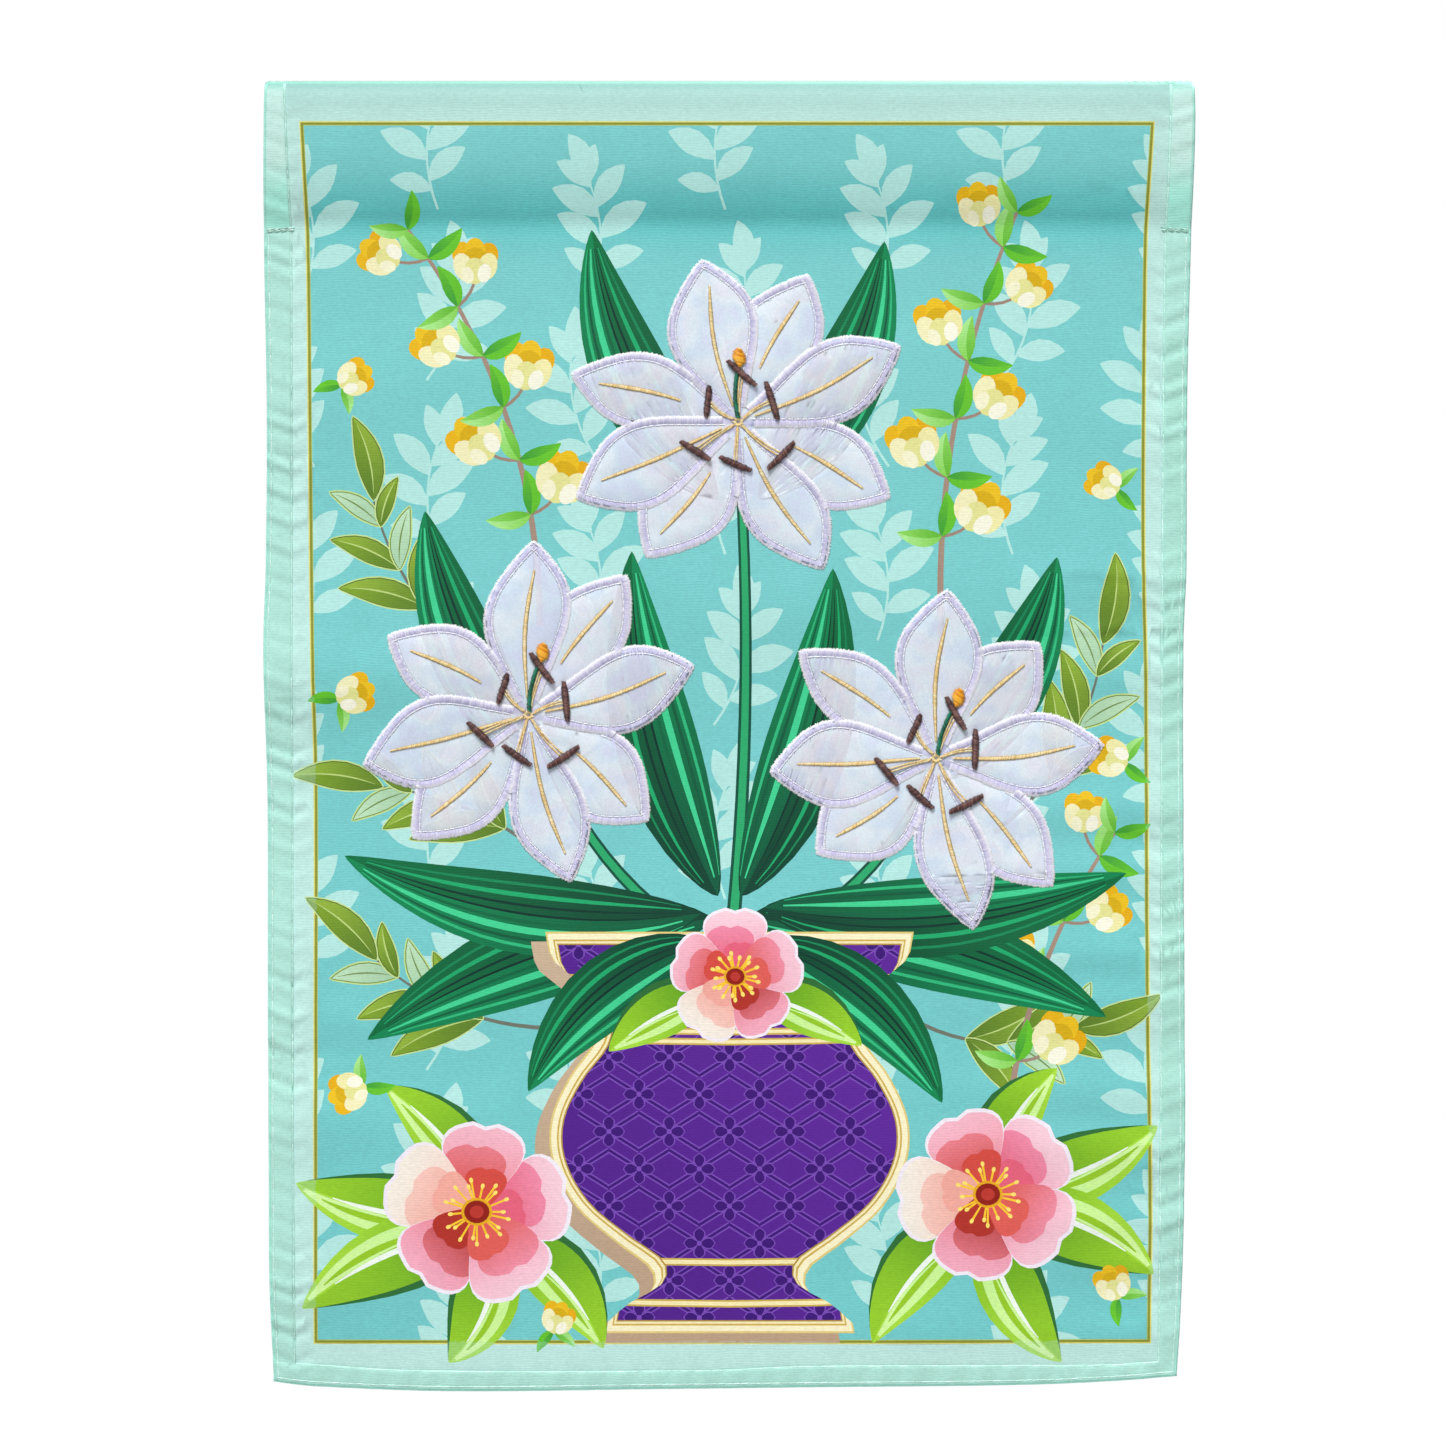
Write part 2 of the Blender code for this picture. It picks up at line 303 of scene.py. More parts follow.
    def outer_depth(self, x: Array, drop: Array) -> Array:
        """Depth of a layer's outer side, from the middle plane.

        Args:
            x: Places across the cloth.
            drop: Places down the cloth.

        Returns:
            The depth with hems, seam grooves and rounded edges.
        """
        side, low = self.past_seams(x, drop)
        hem = 1 - ease(-0.45, 0.35, np.minimum(side, low))
        depth = self.wall.at(drop) + self.hem_extra * hem * ease(0.0, 2.0, drop)
        dent = np.maximum(bell(side, self.groove_width), bell(low, self.groove_width))
        depth -= self.groove * dent * ease(1.0, 4.0, drop)
        left, right, bottom = self.inset(x, drop)
        edge = np.minimum(np.minimum(left, right), bottom)
        closed = ease(self.tack_drop - 1.0, self.tack_drop + 3.0, drop)
        depth -= self.groove * bell(edge - self.edge_groove, 0.4) * closed
        for end in (left, right):
            depth -= 0.3 * bell(drop - self.tack_drop, 1.6) * bell(end - 5.5, 3.6)
        rim = self.inner_depth(drop) + 0.06
        share = np.clip(edge / self.edge_round, 0.0, 1.0)
        return rim + np.maximum(depth - rim, 0.04) * np.sqrt(1 - (1 - share) ** 2)

    def place(self, layer: Layer, flat: Array, lift: Array | float = 0.0,
              inner: bool = False) -> Array:
        """Bring places on the flat cloth to where they hang.

        Args:
            layer: The layer that carries them.
            flat: Places as x and z.
            lift: Distance outwards from the layer's surface.
            inner: Whether they lie on the layer's inner side.

        Returns:
            Places in metres.
        """
        x, drop = flat[:, 0], -flat[:, 1]
        depth = self.inner_depth(drop) if inner else self.outer_depth(x, drop) + lift
        y = layer.value * depth - self.forward(x, drop)
        return np.stack([x, y, -drop], axis=1) * MM

    def rows(self) -> Array:
        """Drops of the rows of corners along the side edges."""
        return np.concatenate([[0.25, 0.6, 1.1, 1.8, 2.8, 4.0], np.arange(5.4, 446.0, 1.5)])

    def columns(self) -> Array:
        """Places across of the columns of corners along the bottom edge."""
        return np.arange(-158.0, 156.0, self.edge_step)

    def outline(self) -> Array:
        """The cloth's outline, anticlockwise from its lower left corner."""
        xs = np.concatenate([[-159.4], self.columns(), [156.4]])
        drops = np.concatenate([self.rows()[2:], [447.0, 449.4, 451.5]])[::-1]
        top_xs = np.linspace(160.6, -160.6, 90)
        top = np.stack([top_xs, np.zeros_like(top_xs)], axis=1)
        return np.concatenate([self.bottom.along(xs), self.sides.down(drops, 2), top,
                               self.sides.down(drops, 1)[::-1]])

    def grid(self) -> Array:
        """Places inside the outline, close at hems and seams and even between."""
        parts = []
        for inset in (0.12, 0.35, 0.75, 1.2, 1.9, 2.6, 3.8, 5.4, 7.0, 7.9, 8.4, 8.9, 9.7, 11.4):
            parts.append(self.sides.down(self.rows(), 1, inset))
            parts.append(self.sides.down(self.rows(), 2, -inset))
        first = [0.3, 0.8, 1.5, 2.6, 4.2, 6.2, 8.6]
        rows = np.concatenate([first, np.arange(11.2, 444.0, 3.3)])
        share = np.linspace(0.0, 1.0, 84)
        left, right = self.span(rows)
        xs = (left + 13.6)[:, None] * (1 - share) + (right - 13.6)[:, None] * share
        parts.append(np.stack([xs.ravel(), -np.repeat(rows, len(share))], axis=1))
        for inset in (0.12, 0.35, 0.75, 1.2, 1.9, 2.8, 4.2, 5.6, 6.4, 7.0, 7.7, 9.0):
            parts.append(self.bottom.along(self.columns(), inset))
        return np.concatenate(parts)


@dataclass(frozen=True)
class Paint:
    """A print colour that may run into another between two places."""

    near: Colour
    far: Colour
    start: Place = (0.0, 0.0)
    end: Place = (0.0, 1.0)

    @classmethod
    def plain(cls, code: str) -> Paint:
        """A paint of one colour."""
        return cls(dye(code), dye(code))

    @classmethod
    def graded(cls, near: str, far: str, start: Place, end: Place) -> Paint:
        """A paint that runs from one colour at start to another at end."""
        return cls(dye(near), dye(far), tuple(start), tuple(end))

    def at(self, places: Array) -> Array:
        """Colours at an array of places."""
        start = np.array(self.start)
        run = np.array(self.end) - start
        share = ease(0.0, 1.0, (places - start) @ run / (run @ run))[..., None]
        return np.array(self.near) * (1 - share) + np.array(self.far) * share


@dataclass
class Shape:
    """One printed shape; clip is the number of the shape that it stays inside."""

    outline: Array
    paint: Paint
    clip: int | None = None


@dataclass
class Print:
    """Printed shapes in the order in which they lie on each other."""

    shapes: list[Shape] = field(default_factory=list)
    clip: int | None = None
    frame: int | None = None

    def fill(self, outline: Array | list[Place], paint: Paint | str) -> int:
        """Add a shape.

        Args:
            outline: Its corners in order.
            paint: Its colour, or the code of a plain one.

        Returns:
            The shape's number.
        """
        outline = np.array(outline, float)
        x, z = outline[:, 0], outline[:, 1]
        if np.sum(x * np.roll(z, -1) - np.roll(x, -1) * z) < 0:
            outline = outline[::-1]
        paint = Paint.plain(paint) if isinstance(paint, str) else paint
        self.shapes.append(Shape(outline, paint, self.clip))
        return len(self.shapes) - 1

    def box(self, left: float, low: float, right: float, high: float, paint: Paint) -> int:
        """Add an upright rectangle."""
        return self.fill([(left, low), (right, low), (right, high), (left, high)], paint)

    def oval(self, centre: Place, long: float, wide: float, turn: float, paint: Paint | str,
             corners: int = 18) -> int:
        """Add an oval.

        Args:
            centre: Its middle.
            long: Half its length.
            wide: Half its width.
            turn: Direction of its length in degrees.
            paint: Its colour.
            corners: How many corners it has.

        Returns:
            The shape's number.
        """
        angles = np.linspace(0.0, math.tau, corners, endpoint=False)
        rim = np.stack([long * np.cos(angles), wide * np.sin(angles)], axis=1)
        return self.fill(turned(rim, turn) + np.array(centre), paint)

    def line(self, way: Array, start: float, end: float, paint: Paint | str) -> int:
        """Add a line along a way, with a width at its start and at its end."""
        across = leftward(way) * np.linspace(start, end, len(way))[:, None] / 2
        return self.fill(np.concatenate([way + across, (way - across)[::-1]]), paint)

    def band(self, way: Array, width: float, paint: Paint | str) -> int:
        """Add a line of one width along a way."""
        return self.line(way, width, width, paint)

    def topmost(self, numbers: list[int]) -> int:
        """Find the shape that shows, of those that hold a place.

        Args:
            numbers: The shapes' numbers.

        Returns:
            The number of the one that lies over the others.
        """
        held = set(numbers)
        for number in sorted(held, reverse=True):
            if self.shapes[number].clip is None or self.shapes[number].clip in held:
                return number
        return 0

    def colours(self, places: Array, numbers: Array) -> Array:
        """Colours at the corners of triangles.

        Args:
            places: The corners, three for each triangle.
            numbers: The shape that shows in each triangle.

        Returns:
            A colour for each corner.
        """
        order = np.argsort(numbers, kind="stable")
        ends = np.searchsorted(numbers[order], np.arange(len(self.shapes) + 1))
        out = np.zeros((*places.shape[:-1], 3))
        for number in np.unique(numbers):
            rows = order[ends[number]:ends[number + 1]]
            out[rows] = self.shapes[number].paint.at(places[rows])
        return out

    def near(self, centre: Place, reach: float) -> Print:
        """Take the part of the print round a centre.

        Args:
            centre: The middle of that part.
            reach: How far it goes to each side.

        Returns:
            The shapes there, with all that others are clipped by.
        """
        part, renumbered = Print(), {}
        clips = {shape.clip for shape in self.shapes}
        for number, shape in enumerate(self.shapes):
            gap = np.maximum(shape.outline.min(axis=0) - centre, centre - shape.outline.max(axis=0))
            if number in clips or gap.max() < reach:
                renumbered[number] = len(part.shapes)
                part.shapes.append(Shape(shape.outline, shape.paint, renumbered.get(shape.clip)))
        return part


@dataclass(frozen=True)
class Spine:
    """The middle line of a leaf or stem, bent to the left by a distance."""

    root: Place
    tip: Place
    bend: float = 0.0

    def at(self, share: Array | float) -> Array:
        """Find places on the line.

        Args:
            share: Shares of its length.

        Returns:
            A place for each share.
        """
        share = np.asarray(share, float).reshape(-1, 1)
        root, tip = np.array(self.root), np.array(self.tip)
        left = left_of(unit(tip - root)[None])[0]
        middle = (root + tip) / 2 + left * self.bend * 2
        return root * (1 - share) ** 2 + middle * 2 * share * (1 - share) + tip * share ** 2

    def way(self, points: int) -> Array:
        """Even places along the whole length."""
        return self.at(np.linspace(0.0, 1.0, points))

    def direction(self, share: float) -> float:
        """Direction at a share of the length, in degrees."""
        return heading(self.at(min(share + 0.03, 1.0))[0] - self.at(max(share - 0.03, 0.0))[0])


@dataclass(frozen=True)
class Blade:
    """A leaf's form: its spine, its full width and where along it that width lies."""

    spine: Spine
    width: float
    belly: float = 0.42
    fullness: float = 0.85
    steps: int = 12

    def half(self, share: Array) -> Array:
        """Half the width at shares of the length."""
        power = math.log(0.5) / math.log(self.belly)
        share = np.clip(np.asarray(share, float), 0.0, 1.0)
        return self.width / 2 * np.sin(math.pi * share ** power).clip(0.0) ** self.fullness

    def across(self, share: Array, part: Array | float, grow: float = 0.0) -> Array:
        """Places at shares of the length and at a part, -1 to 1, of the half width."""
        way = self.spine.at(share)
        return way + leftward(way) * (np.asarray(part, float) * (self.half(share) + grow))[:, None]

    def outline(self, grow: float = 0.0) -> Array:
        """Outline the whole leaf.

        Args:
            grow: A margin that it is grown by.

        Returns:
            The outline, anticlockwise from its root.
        """
        share = 0.5 - 0.5 * np.cos(np.linspace(0.0, math.pi, self.steps))
        left = self.across(share, 1.0, grow)[1:-1]
        right = self.across(share, -1.0, grow)[1:-1]
        root, tip = self.spine.at([0.0, 1.0])
        way = unit(tip - root)
        return np.concatenate([[root - way * grow], right, [tip + way * grow], left[::-1]])

    def side(self, hand: int) -> Array:
        """Half of the leaf, to the left (1) or right (-1) of its spine."""
        share = np.linspace(0.0, 1.0, self.steps)
        outer = self.across(share, float(hand))[1:-1]
        return np.concatenate([self.spine.at(share), outer[::-1]])

    def streak(self, start: float, stop: float, part: float, drift: float,
               thick: float) -> Array:
        """A tapered streak along the leaf.

        Args:
            start: Share of the length where it begins.
            stop: Share of the length where it ends.
            part: Part of the half width that it starts at.
            drift: How much that part changes along it.
            thick: Its greatest width.

        Returns:
            Its outline.
        """
        local = np.linspace(0.0, 1.0, self.steps)
        middle = self.across(start + (stop - start) * local, part + drift * local)
        half = thick / 2 * np.sin(math.pi * local.clip(0.03, 0.97)) ** 0.7
        swell = leftward(middle) * half[:, None]
        return np.concatenate([middle + swell, (middle - swell)[::-1]])


class Motif:
    """Something that can be drawn on a print."""

    def draw(self, page: Print) -> None:
        """Print the motif.

        Args:
            page: The print that takes it.
        """
        raise NotImplementedError


@dataclass(frozen=True)
class BroadLeaf(Motif):
    """What the broad leaves share: their ends, width, bend and the side that is lit."""

    root: Place
    tip: Place
    width: float
    bend: float
    lit: int = 1

    def blade(self, fullness: float) -> Blade:
        """The leaf's form."""
        return Blade(Spine(self.root, self.tip, self.bend), self.width, 0.45, fullness, 16)

    def paint(self, near: str, far: str) -> Paint:
        """A paint that runs from the root to the tip."""
        return Paint.graded(near, far, self.root, self.tip)


@dataclass(frozen=True)
class StripedLeaf(BroadLeaf):
    """A broad dark leaf with long pale stripes."""

    stripes: tuple[tuple[float | str, ...], ...] = (
        (-0.78, 0.10, 1.0, "128353"), (-0.50, 0.08, 1.6, "1BA468"), (-0.24, 0.06, 0.9, "03332A"),
        (0.00, 0.00, 0.8, "022E27"), (0.20, -0.02, 1.1, "07633F"), (0.42, -0.04, 2.4, "3FCB8E"),
        (0.66, -0.06, 1.0, "06573A"), (0.84, -0.10, 1.1, "2DB478"),
    )

    def draw(self, page: Print) -> None:
        """Print the leaf."""
        blade = self.blade(0.8)
        page.fill(blade.outline(), self.paint("04402E", "086B3E"))
        page.fill(blade.side(self.lit), self.paint("05573A", "0B8450"))
        for part, drift, thick, code in self.stripes:
            streak = blade.streak(0.05, 0.94, part * self.lit, drift * self.lit, thick)
            page.fill(streak, code)


@dataclass(frozen=True)
class LimeLeaf(BroadLeaf):
    """A bright leaf with a dark half, a pale flare and a white streak."""

    def draw(self, page: Print) -> None:
        """Print the leaf over its own dark shade."""
        blade = self.blade(0.78)
        shade = Blade(Spine(self.root, self.tip, self.bend - 2.5 * self.lit), self.width, 0.4)
        page.fill(shade.outline(), "2C6B34")
        page.fill(blade.outline(), self.paint("7DB81A", "A6D93F"))
        page.fill(blade.side(-self.lit), self.paint("5E9F1C", "93C92A"))
        for start, stop, part, drift, thick, near, far in (
            (0.12, 0.95, 0.48, -0.10, 0.28, "BFEE8E", "CFF29C"),
            (0.30, 0.85, 0.30, 0.05, 0.10, "92C426", "92C426"),
            (0.04, 0.80, 0.06, -0.02, 0.085, "EAF3E8", "EAF3E8"),
        ):
            streak = blade.streak(start, stop, part * self.lit, drift * self.lit,
                                  thick * self.width)
            page.fill(streak, self.paint(near, far))


@dataclass(frozen=True)
class OliveLeaf(Motif):
    """A slim leaf with a pale edge, of the olive or of the paler kind."""

    base: Place
    direction: float
    size: float
    hand: int = 1
    pale: bool = False

    def draw(self, page: Print) -> None:
        """Print the leaf, bent to its hand's side."""
        tip = ahead(self.base, self.direction, self.size)
        spine = Spine(self.base, tip, -0.07 * self.size * self.hand)
        blade = Blade(spine, self.size * 0.3, 0.46, 0.9)
        rim, near, far, rib = (("6F8C4A", "A3C9A6", "B9DDB8", "6F8C4A") if self.pale
                               else ("56702F", "67872A", "8FB03B", "B9D27C"))
        page.fill(blade.outline(0.75), "C3DB8C")
        page.fill(blade.outline(0.28), rim)
        page.fill(blade.outline(-0.1), Paint.graded(near, far, self.base, tip))
        if not self.pale:
            page.fill(blade.side(self.hand), Paint.graded("5B7D28", "7C9E2B", self.base, tip))
        page.fill(blade.streak(0.08, 0.9, 0.0, 0.0, 0.55), rib)


@dataclass(frozen=True)
class OliveSpray(Motif):
    """A branch with slim olive leaves in pairs, each with a pale edge."""

    root: Place
    tip: Place
    bend: float
    leaf: float
    pairs: int = 3
    fan: float = 38.0

    def draw(self, page: Print) -> None:
        """Print the branch and its leaves."""
        spine = Spine(self.root, self.tip, self.bend)
        page.line(spine.way(12), 1.5, 0.7, "6E7468")
        for index in range(self.pairs):
            share = 0.36 + 0.5 * index / (self.pairs - 1)
            for hand, part in ((1, 1.0), (-1, 0.84)):
                OliveLeaf(tuple(spine.at(share)[0]), spine.direction(share) + hand * self.fan,
                          self.leaf * (1.0 - 0.16 * index) * part, hand,
                          (index + hand) % 3 == 0).draw(page)
        OliveLeaf(self.tip, spine.direction(1.0), self.leaf * 0.95).draw(page)


@dataclass(frozen=True)
class YellowCup(Motif):
    """A small blossom of gold back petals and cream front petals."""

    centre: Place
    size: float
    direction: float
    petals: tuple[tuple[float | str, ...], ...] = (
        (0.20, -0.30, 0.36, 0.28, "DFA90E"), (0.24, 0.30, 0.36, 0.28, "E4B214"),
        (0.34, 0.00, 0.34, 0.26, "E6BC1C"), (0.02, 0.00, 0.42, 0.36, "D3AA10"),
        (-0.06, -0.30, 0.36, 0.25, "E9E4A6"), (-0.06, 0.30, 0.37, 0.25, "EDE8B8"),
        (-0.16, 0.02, 0.34, 0.27, "DEDD92"), (-0.22, -0.22, 0.24, 0.17, "F1F0DC"),
        (-0.26, 0.20, 0.22, 0.15, "EFEDCB"),
    )

    def draw(self, page: Print) -> None:
        """Print the petals from the back to the front."""
        for along, across, long, wide, code in self.petals:
            place = turned(np.array([along, across]) * self.size, self.direction)
            tilt = self.direction + 60.0 * across
            page.oval(tuple(place + np.array(self.centre)), long * self.size, wide * self.size,
                      tilt, code, 14)


@dataclass(frozen=True)
class LeafPair(Motif):
    """Two small bright leaves that spread from one place."""

    root: Place
    size: float
    direction: float

    def draw(self, page: Print) -> None:
        """Print both leaves, each with a lit half."""
        for fan, bend, near, far, lit in ((48, 1, "62B535", "86CF58", "A8E48E"),
                                          (-42, -1, "3C9A34", "5FBA2C", "66C22C")):
            tip = ahead(self.root, self.direction + fan, self.size)
            blade = Blade(Spine(self.root, tip, bend * 0.08 * self.size), self.size * 0.4, steps=9)
            page.fill(blade.outline(), Paint.graded(near, far, self.root, tip))
            page.fill(blade.side(bend), Paint.graded(far, lit, self.root, tip))


@dataclass(frozen=True)
class YellowBranch(Motif):
    """A brown branch that carries yellow cups and small green leaves."""

    root: Place
    tip: Place
    bend: float
    cups: int
    cup: float

    def draw(self, page: Print) -> None:
        """Print the branch, then its leaves and cups in turn."""
        spine = Spine(self.root, self.tip, self.bend)
        page.line(spine.way(18), 2.3, 1.2, "A08878")
        for index in range(self.cups):
            share = 0.26 + 0.66 * index / (self.cups - 1)
            hand = 1 if index % 2 else -1
            base, direction = tuple(spine.at(share)[0]), spine.direction(share)
            end = ahead(base, direction + hand * 52, self.cup * 0.72)
            twig = Spine(base, end, 0.1 * self.cup * hand)
            page.line(twig.way(6), 1.2, 0.9, "9A8374")
            LeafPair(base, self.cup * 0.72, direction - hand * 40).draw(page)
            YellowCup(end, self.cup * (0.8 - 0.22 * share), direction + hand * 28).draw(page)
        LeafPair(self.tip, self.cup * 0.62, spine.direction(1.0)).draw(page)


@dataclass(frozen=True)
class LooseCup(Motif):
    """A yellow cup on its own, with two leaves."""

    centre: Place
    size: float
    direction: float

    def draw(self, page: Print) -> None:
        """Print the leaves under the cup."""
        foot = ahead(self.centre, self.direction + 180.0, self.size * 0.4)
        LeafPair(foot, self.size * 0.95, self.direction + 205.0).draw(page)
        YellowCup(self.centre, self.size, self.direction).draw(page)


@dataclass(frozen=True)
class PinkBlossom(Motif):
    """A five-petalled blossom in flat zones of pink and coral."""

    centre: Place
    radius: float
    turn: float
    petal: Curve = Curve(((0.0, 0.06), (0.14, 0.13), (0.32, 0.27), (0.52, 0.40), (0.70, 0.47),
                          (0.85, 0.43), (0.95, 0.30), (1, 0.14)))
    tones: tuple[Codes, ...] = (
        ("EEE6F0", "F2CAD6", "EC8FAC", "E2607A"), ("EEE6F0", "F0B6C6", "EA8896", "D24A40"),
        ("EEE6F0", "F0E8DC", "F2C9BE", "EDA79A"), ("EEE6F0", "EFA9BE", "E47C8A", "AE3026"),
        ("EEE6F0", "F2C4D2", "EE94AC", "DC5C54"),
    )

    def zone(self, index: int, scale: float, shift: float = 0.0) -> Array:
        """Outline of a petal, or of a smaller zone inside it.

        Args:
            index: The petal's number.
            scale: The zone's size against the petal.
            shift: How far it lies to the left of the petal's middle.

        Returns:
            The outline in its place.
        """
        along = 1.0 - np.linspace(0.0, 1.0, 12) ** 1.6
        half = self.petal.at(along)
        right = np.stack([along, -half], axis=1)[::-1]
        left = np.stack([along, half], axis=1)
        outline = np.concatenate([right, [[0.955, 0.0]], left]) * scale + [0.0, shift * scale]
        reach = self.radius * (1.0 - 0.05 * (index % 2))
        return turned(outline * reach, self.turn + 72.0 * index) + np.array(self.centre)

    def draw(self, page: Print) -> None:
        """Print the petals, the stamens and the eye."""
        for index, (edge, rim, body, deep) in enumerate(self.tones):
            tip = ahead(self.centre, self.turn + 72.0 * index, self.radius)
            page.fill(self.zone(index, 1.0), edge)
            page.fill(self.zone(index, 0.955), Paint.graded(body, rim, self.centre, tip))
            page.fill(self.zone(index, 0.74, 0.1), Paint.graded(deep, body, self.centre, tip))
            page.fill(self.zone(index, 0.5, -0.13), deep)
        for index in range(20):
            angle = 18.0 * index + 5.0 * (index % 3)
            end = ahead(self.centre, angle, self.radius * (0.34 if index % 2 else 0.28))
            ray = np.array([ahead(self.centre, angle, 0.06 * self.radius), end])
            page.line(ray, 0.55, 0.8, "F4C430")
            page.oval(end, 0.95, 0.7, angle, "F9DE6C", 8)
        for part, code in ((0.165, "E2A51C"), (0.135, "8E1B10"), (0.075, "B9352C")):
            page.oval(self.centre, part * self.radius, 0.9 * part * self.radius, 0.0, code)


@dataclass(frozen=True)
class PaleSprig(Motif):
    """A stem with plain pale leaves, the unit of the ground's repeat."""

    centre: Place
    height: float
    hand: int
    lean: float
    leaves: Rows = (
        (0.16, 62, 0.30), (0.24, -58, 0.34), (0.42, 56, 0.38), (0.50, -54, 0.40),
        (0.68, 50, 0.38), (0.76, -46, 0.35), (0.93, 34, 0.30), (0.97, -30, 0.27), (1, 2, 0.34),
    )

    def draw(self, page: Print) -> None:
        """Print the stem and its leaves in one pale tone."""
        tone = "B0E1DB"
        root = turned(np.array([-2.0 * self.hand, -0.5 * self.height]), self.lean)
        tip = turned(np.array([3.0 * self.hand, 0.3 * self.height]), self.lean)
        stem = Spine(tuple(root + self.centre), tuple(tip + self.centre), -4.0 * self.hand)
        page.line(stem.way(9), 0.9, 0.6, tone)
        for share, fan, size in self.leaves:
            base = tuple(stem.at(share)[0])
            length = size * self.height
            end = ahead(base, stem.direction(share) + fan, length)
            bend = -0.07 * length * (1 if fan > 0 else -1)
            page.fill(Blade(Spine(base, end, bend), length * 0.46, 0.5, 0.8, 9).outline(), tone)


@dataclass(frozen=True)
class Urn(Motif):
    """A turned urn with a bevelled gold edge and a lattice in its own tone."""

    profile: Curve = Curve((
        (-432, 39), (-427.5, 37.5), (-423, 29), (-418, 22.5), (-411, 23),
        (-403, 34), (-391, 48.5), (-376, 57), (-362, 57.5), (-348, 51),
        (-336, 42), (-326, 41), (-317, 48), (-310, 57), (-301, 59.5),
    ))
    pitch: float = 21.0
    mouldings: Rows = (
        (-312, 1.6), (-329.5, 1.2), (-333, 1.2), (-410, 1.4), (-424.5, 1.4),
    )

    def outline(self, grow: float, shift: Place = (0.0, 0.0)) -> Array:
        """Outline the urn.

        Args:
            grow: A margin that it is grown by.
            shift: How far it is moved to the right and up.

        Returns:
            The outline.
        """
        z = np.linspace(-432.0, -301.0, 42)
        half = self.profile.at(z) + grow
        z = z + grow * np.linspace(-1.0, 1.0, len(z))
        right = np.stack([half, z], axis=1)
        left = np.stack([-half, z], axis=1)[::-1]
        return np.concatenate([right, left]) + np.array(shift)

    def draw(self, page: Print) -> None:
        """Print the shade, the bevels, the body, its lattice and its mouldings."""
        page.fill(self.outline(4.6, (-5.0, -3.4)),
                  Paint.graded("B79C82", "C6AE93", (-60, -430), (-60, -300)))
        for grow, code in ((4.6, "DCC67A"), (3.9, "F3EBC4"), (1.9, "C9A94E"), (1.3, "EFE3B0"),
                           (0.5, "B08C3A")):
            page.fill(self.outline(grow), code)
        page.clip = page.fill(self.outline(0.0),
                              Paint.graded("4F1C88", "5B2396", (-50, -400), (50, -330)))
        for row in range(-5, 6):
            z = -366.0 + row * self.pitch * 0.62
            reach = float(self.profile.at(np.array(z))) + 4.0
            for column in range(-4, 5):
                x = (column + (0.5 if row % 2 else 0.0)) * self.pitch
                if abs(x) < reach and -440.0 < z < -300.0:
                    self.rosette(page, (x, z))
        for z, thick in self.mouldings:
            way = np.array([[-70.0, z], [-30.0, z - 1.4], [0.0, z - 1.8], [30.0, z - 1.4],
                            [70.0, z]])
            page.band(way, thick + 1.2, "C9A94E")
            page.band(way, thick, "F1E4AE")
        page.clip = None

    def rosette(self, page: Print, centre: Place) -> None:
        """Print one crossing of the lattice with its four small leaves.

        Args:
            page: The print that takes it.
            centre: Its middle.
        """
        for width, code in ((1.9, "774AB2"), (0.95, "3A0F72")):
            for turn in (32, 148, 212, 328):
                bar = np.array([ahead(centre, turn, 2.6), ahead(centre, turn, self.pitch * 0.59)])
                page.band(bar, width, code)
        for grow, code in ((0.45, "774AB2"), (0.0, "3A0F72")):
            for turn in (0, 90, 180, 270):
                blade = Blade(Spine(centre, ahead(centre, turn, 5.2)), 3.6, 0.62, 0.7, 7)
                page.fill(blade.outline(grow), code)
        page.oval(centre, 0.9, 0.9, 0, "774AB2", 9)


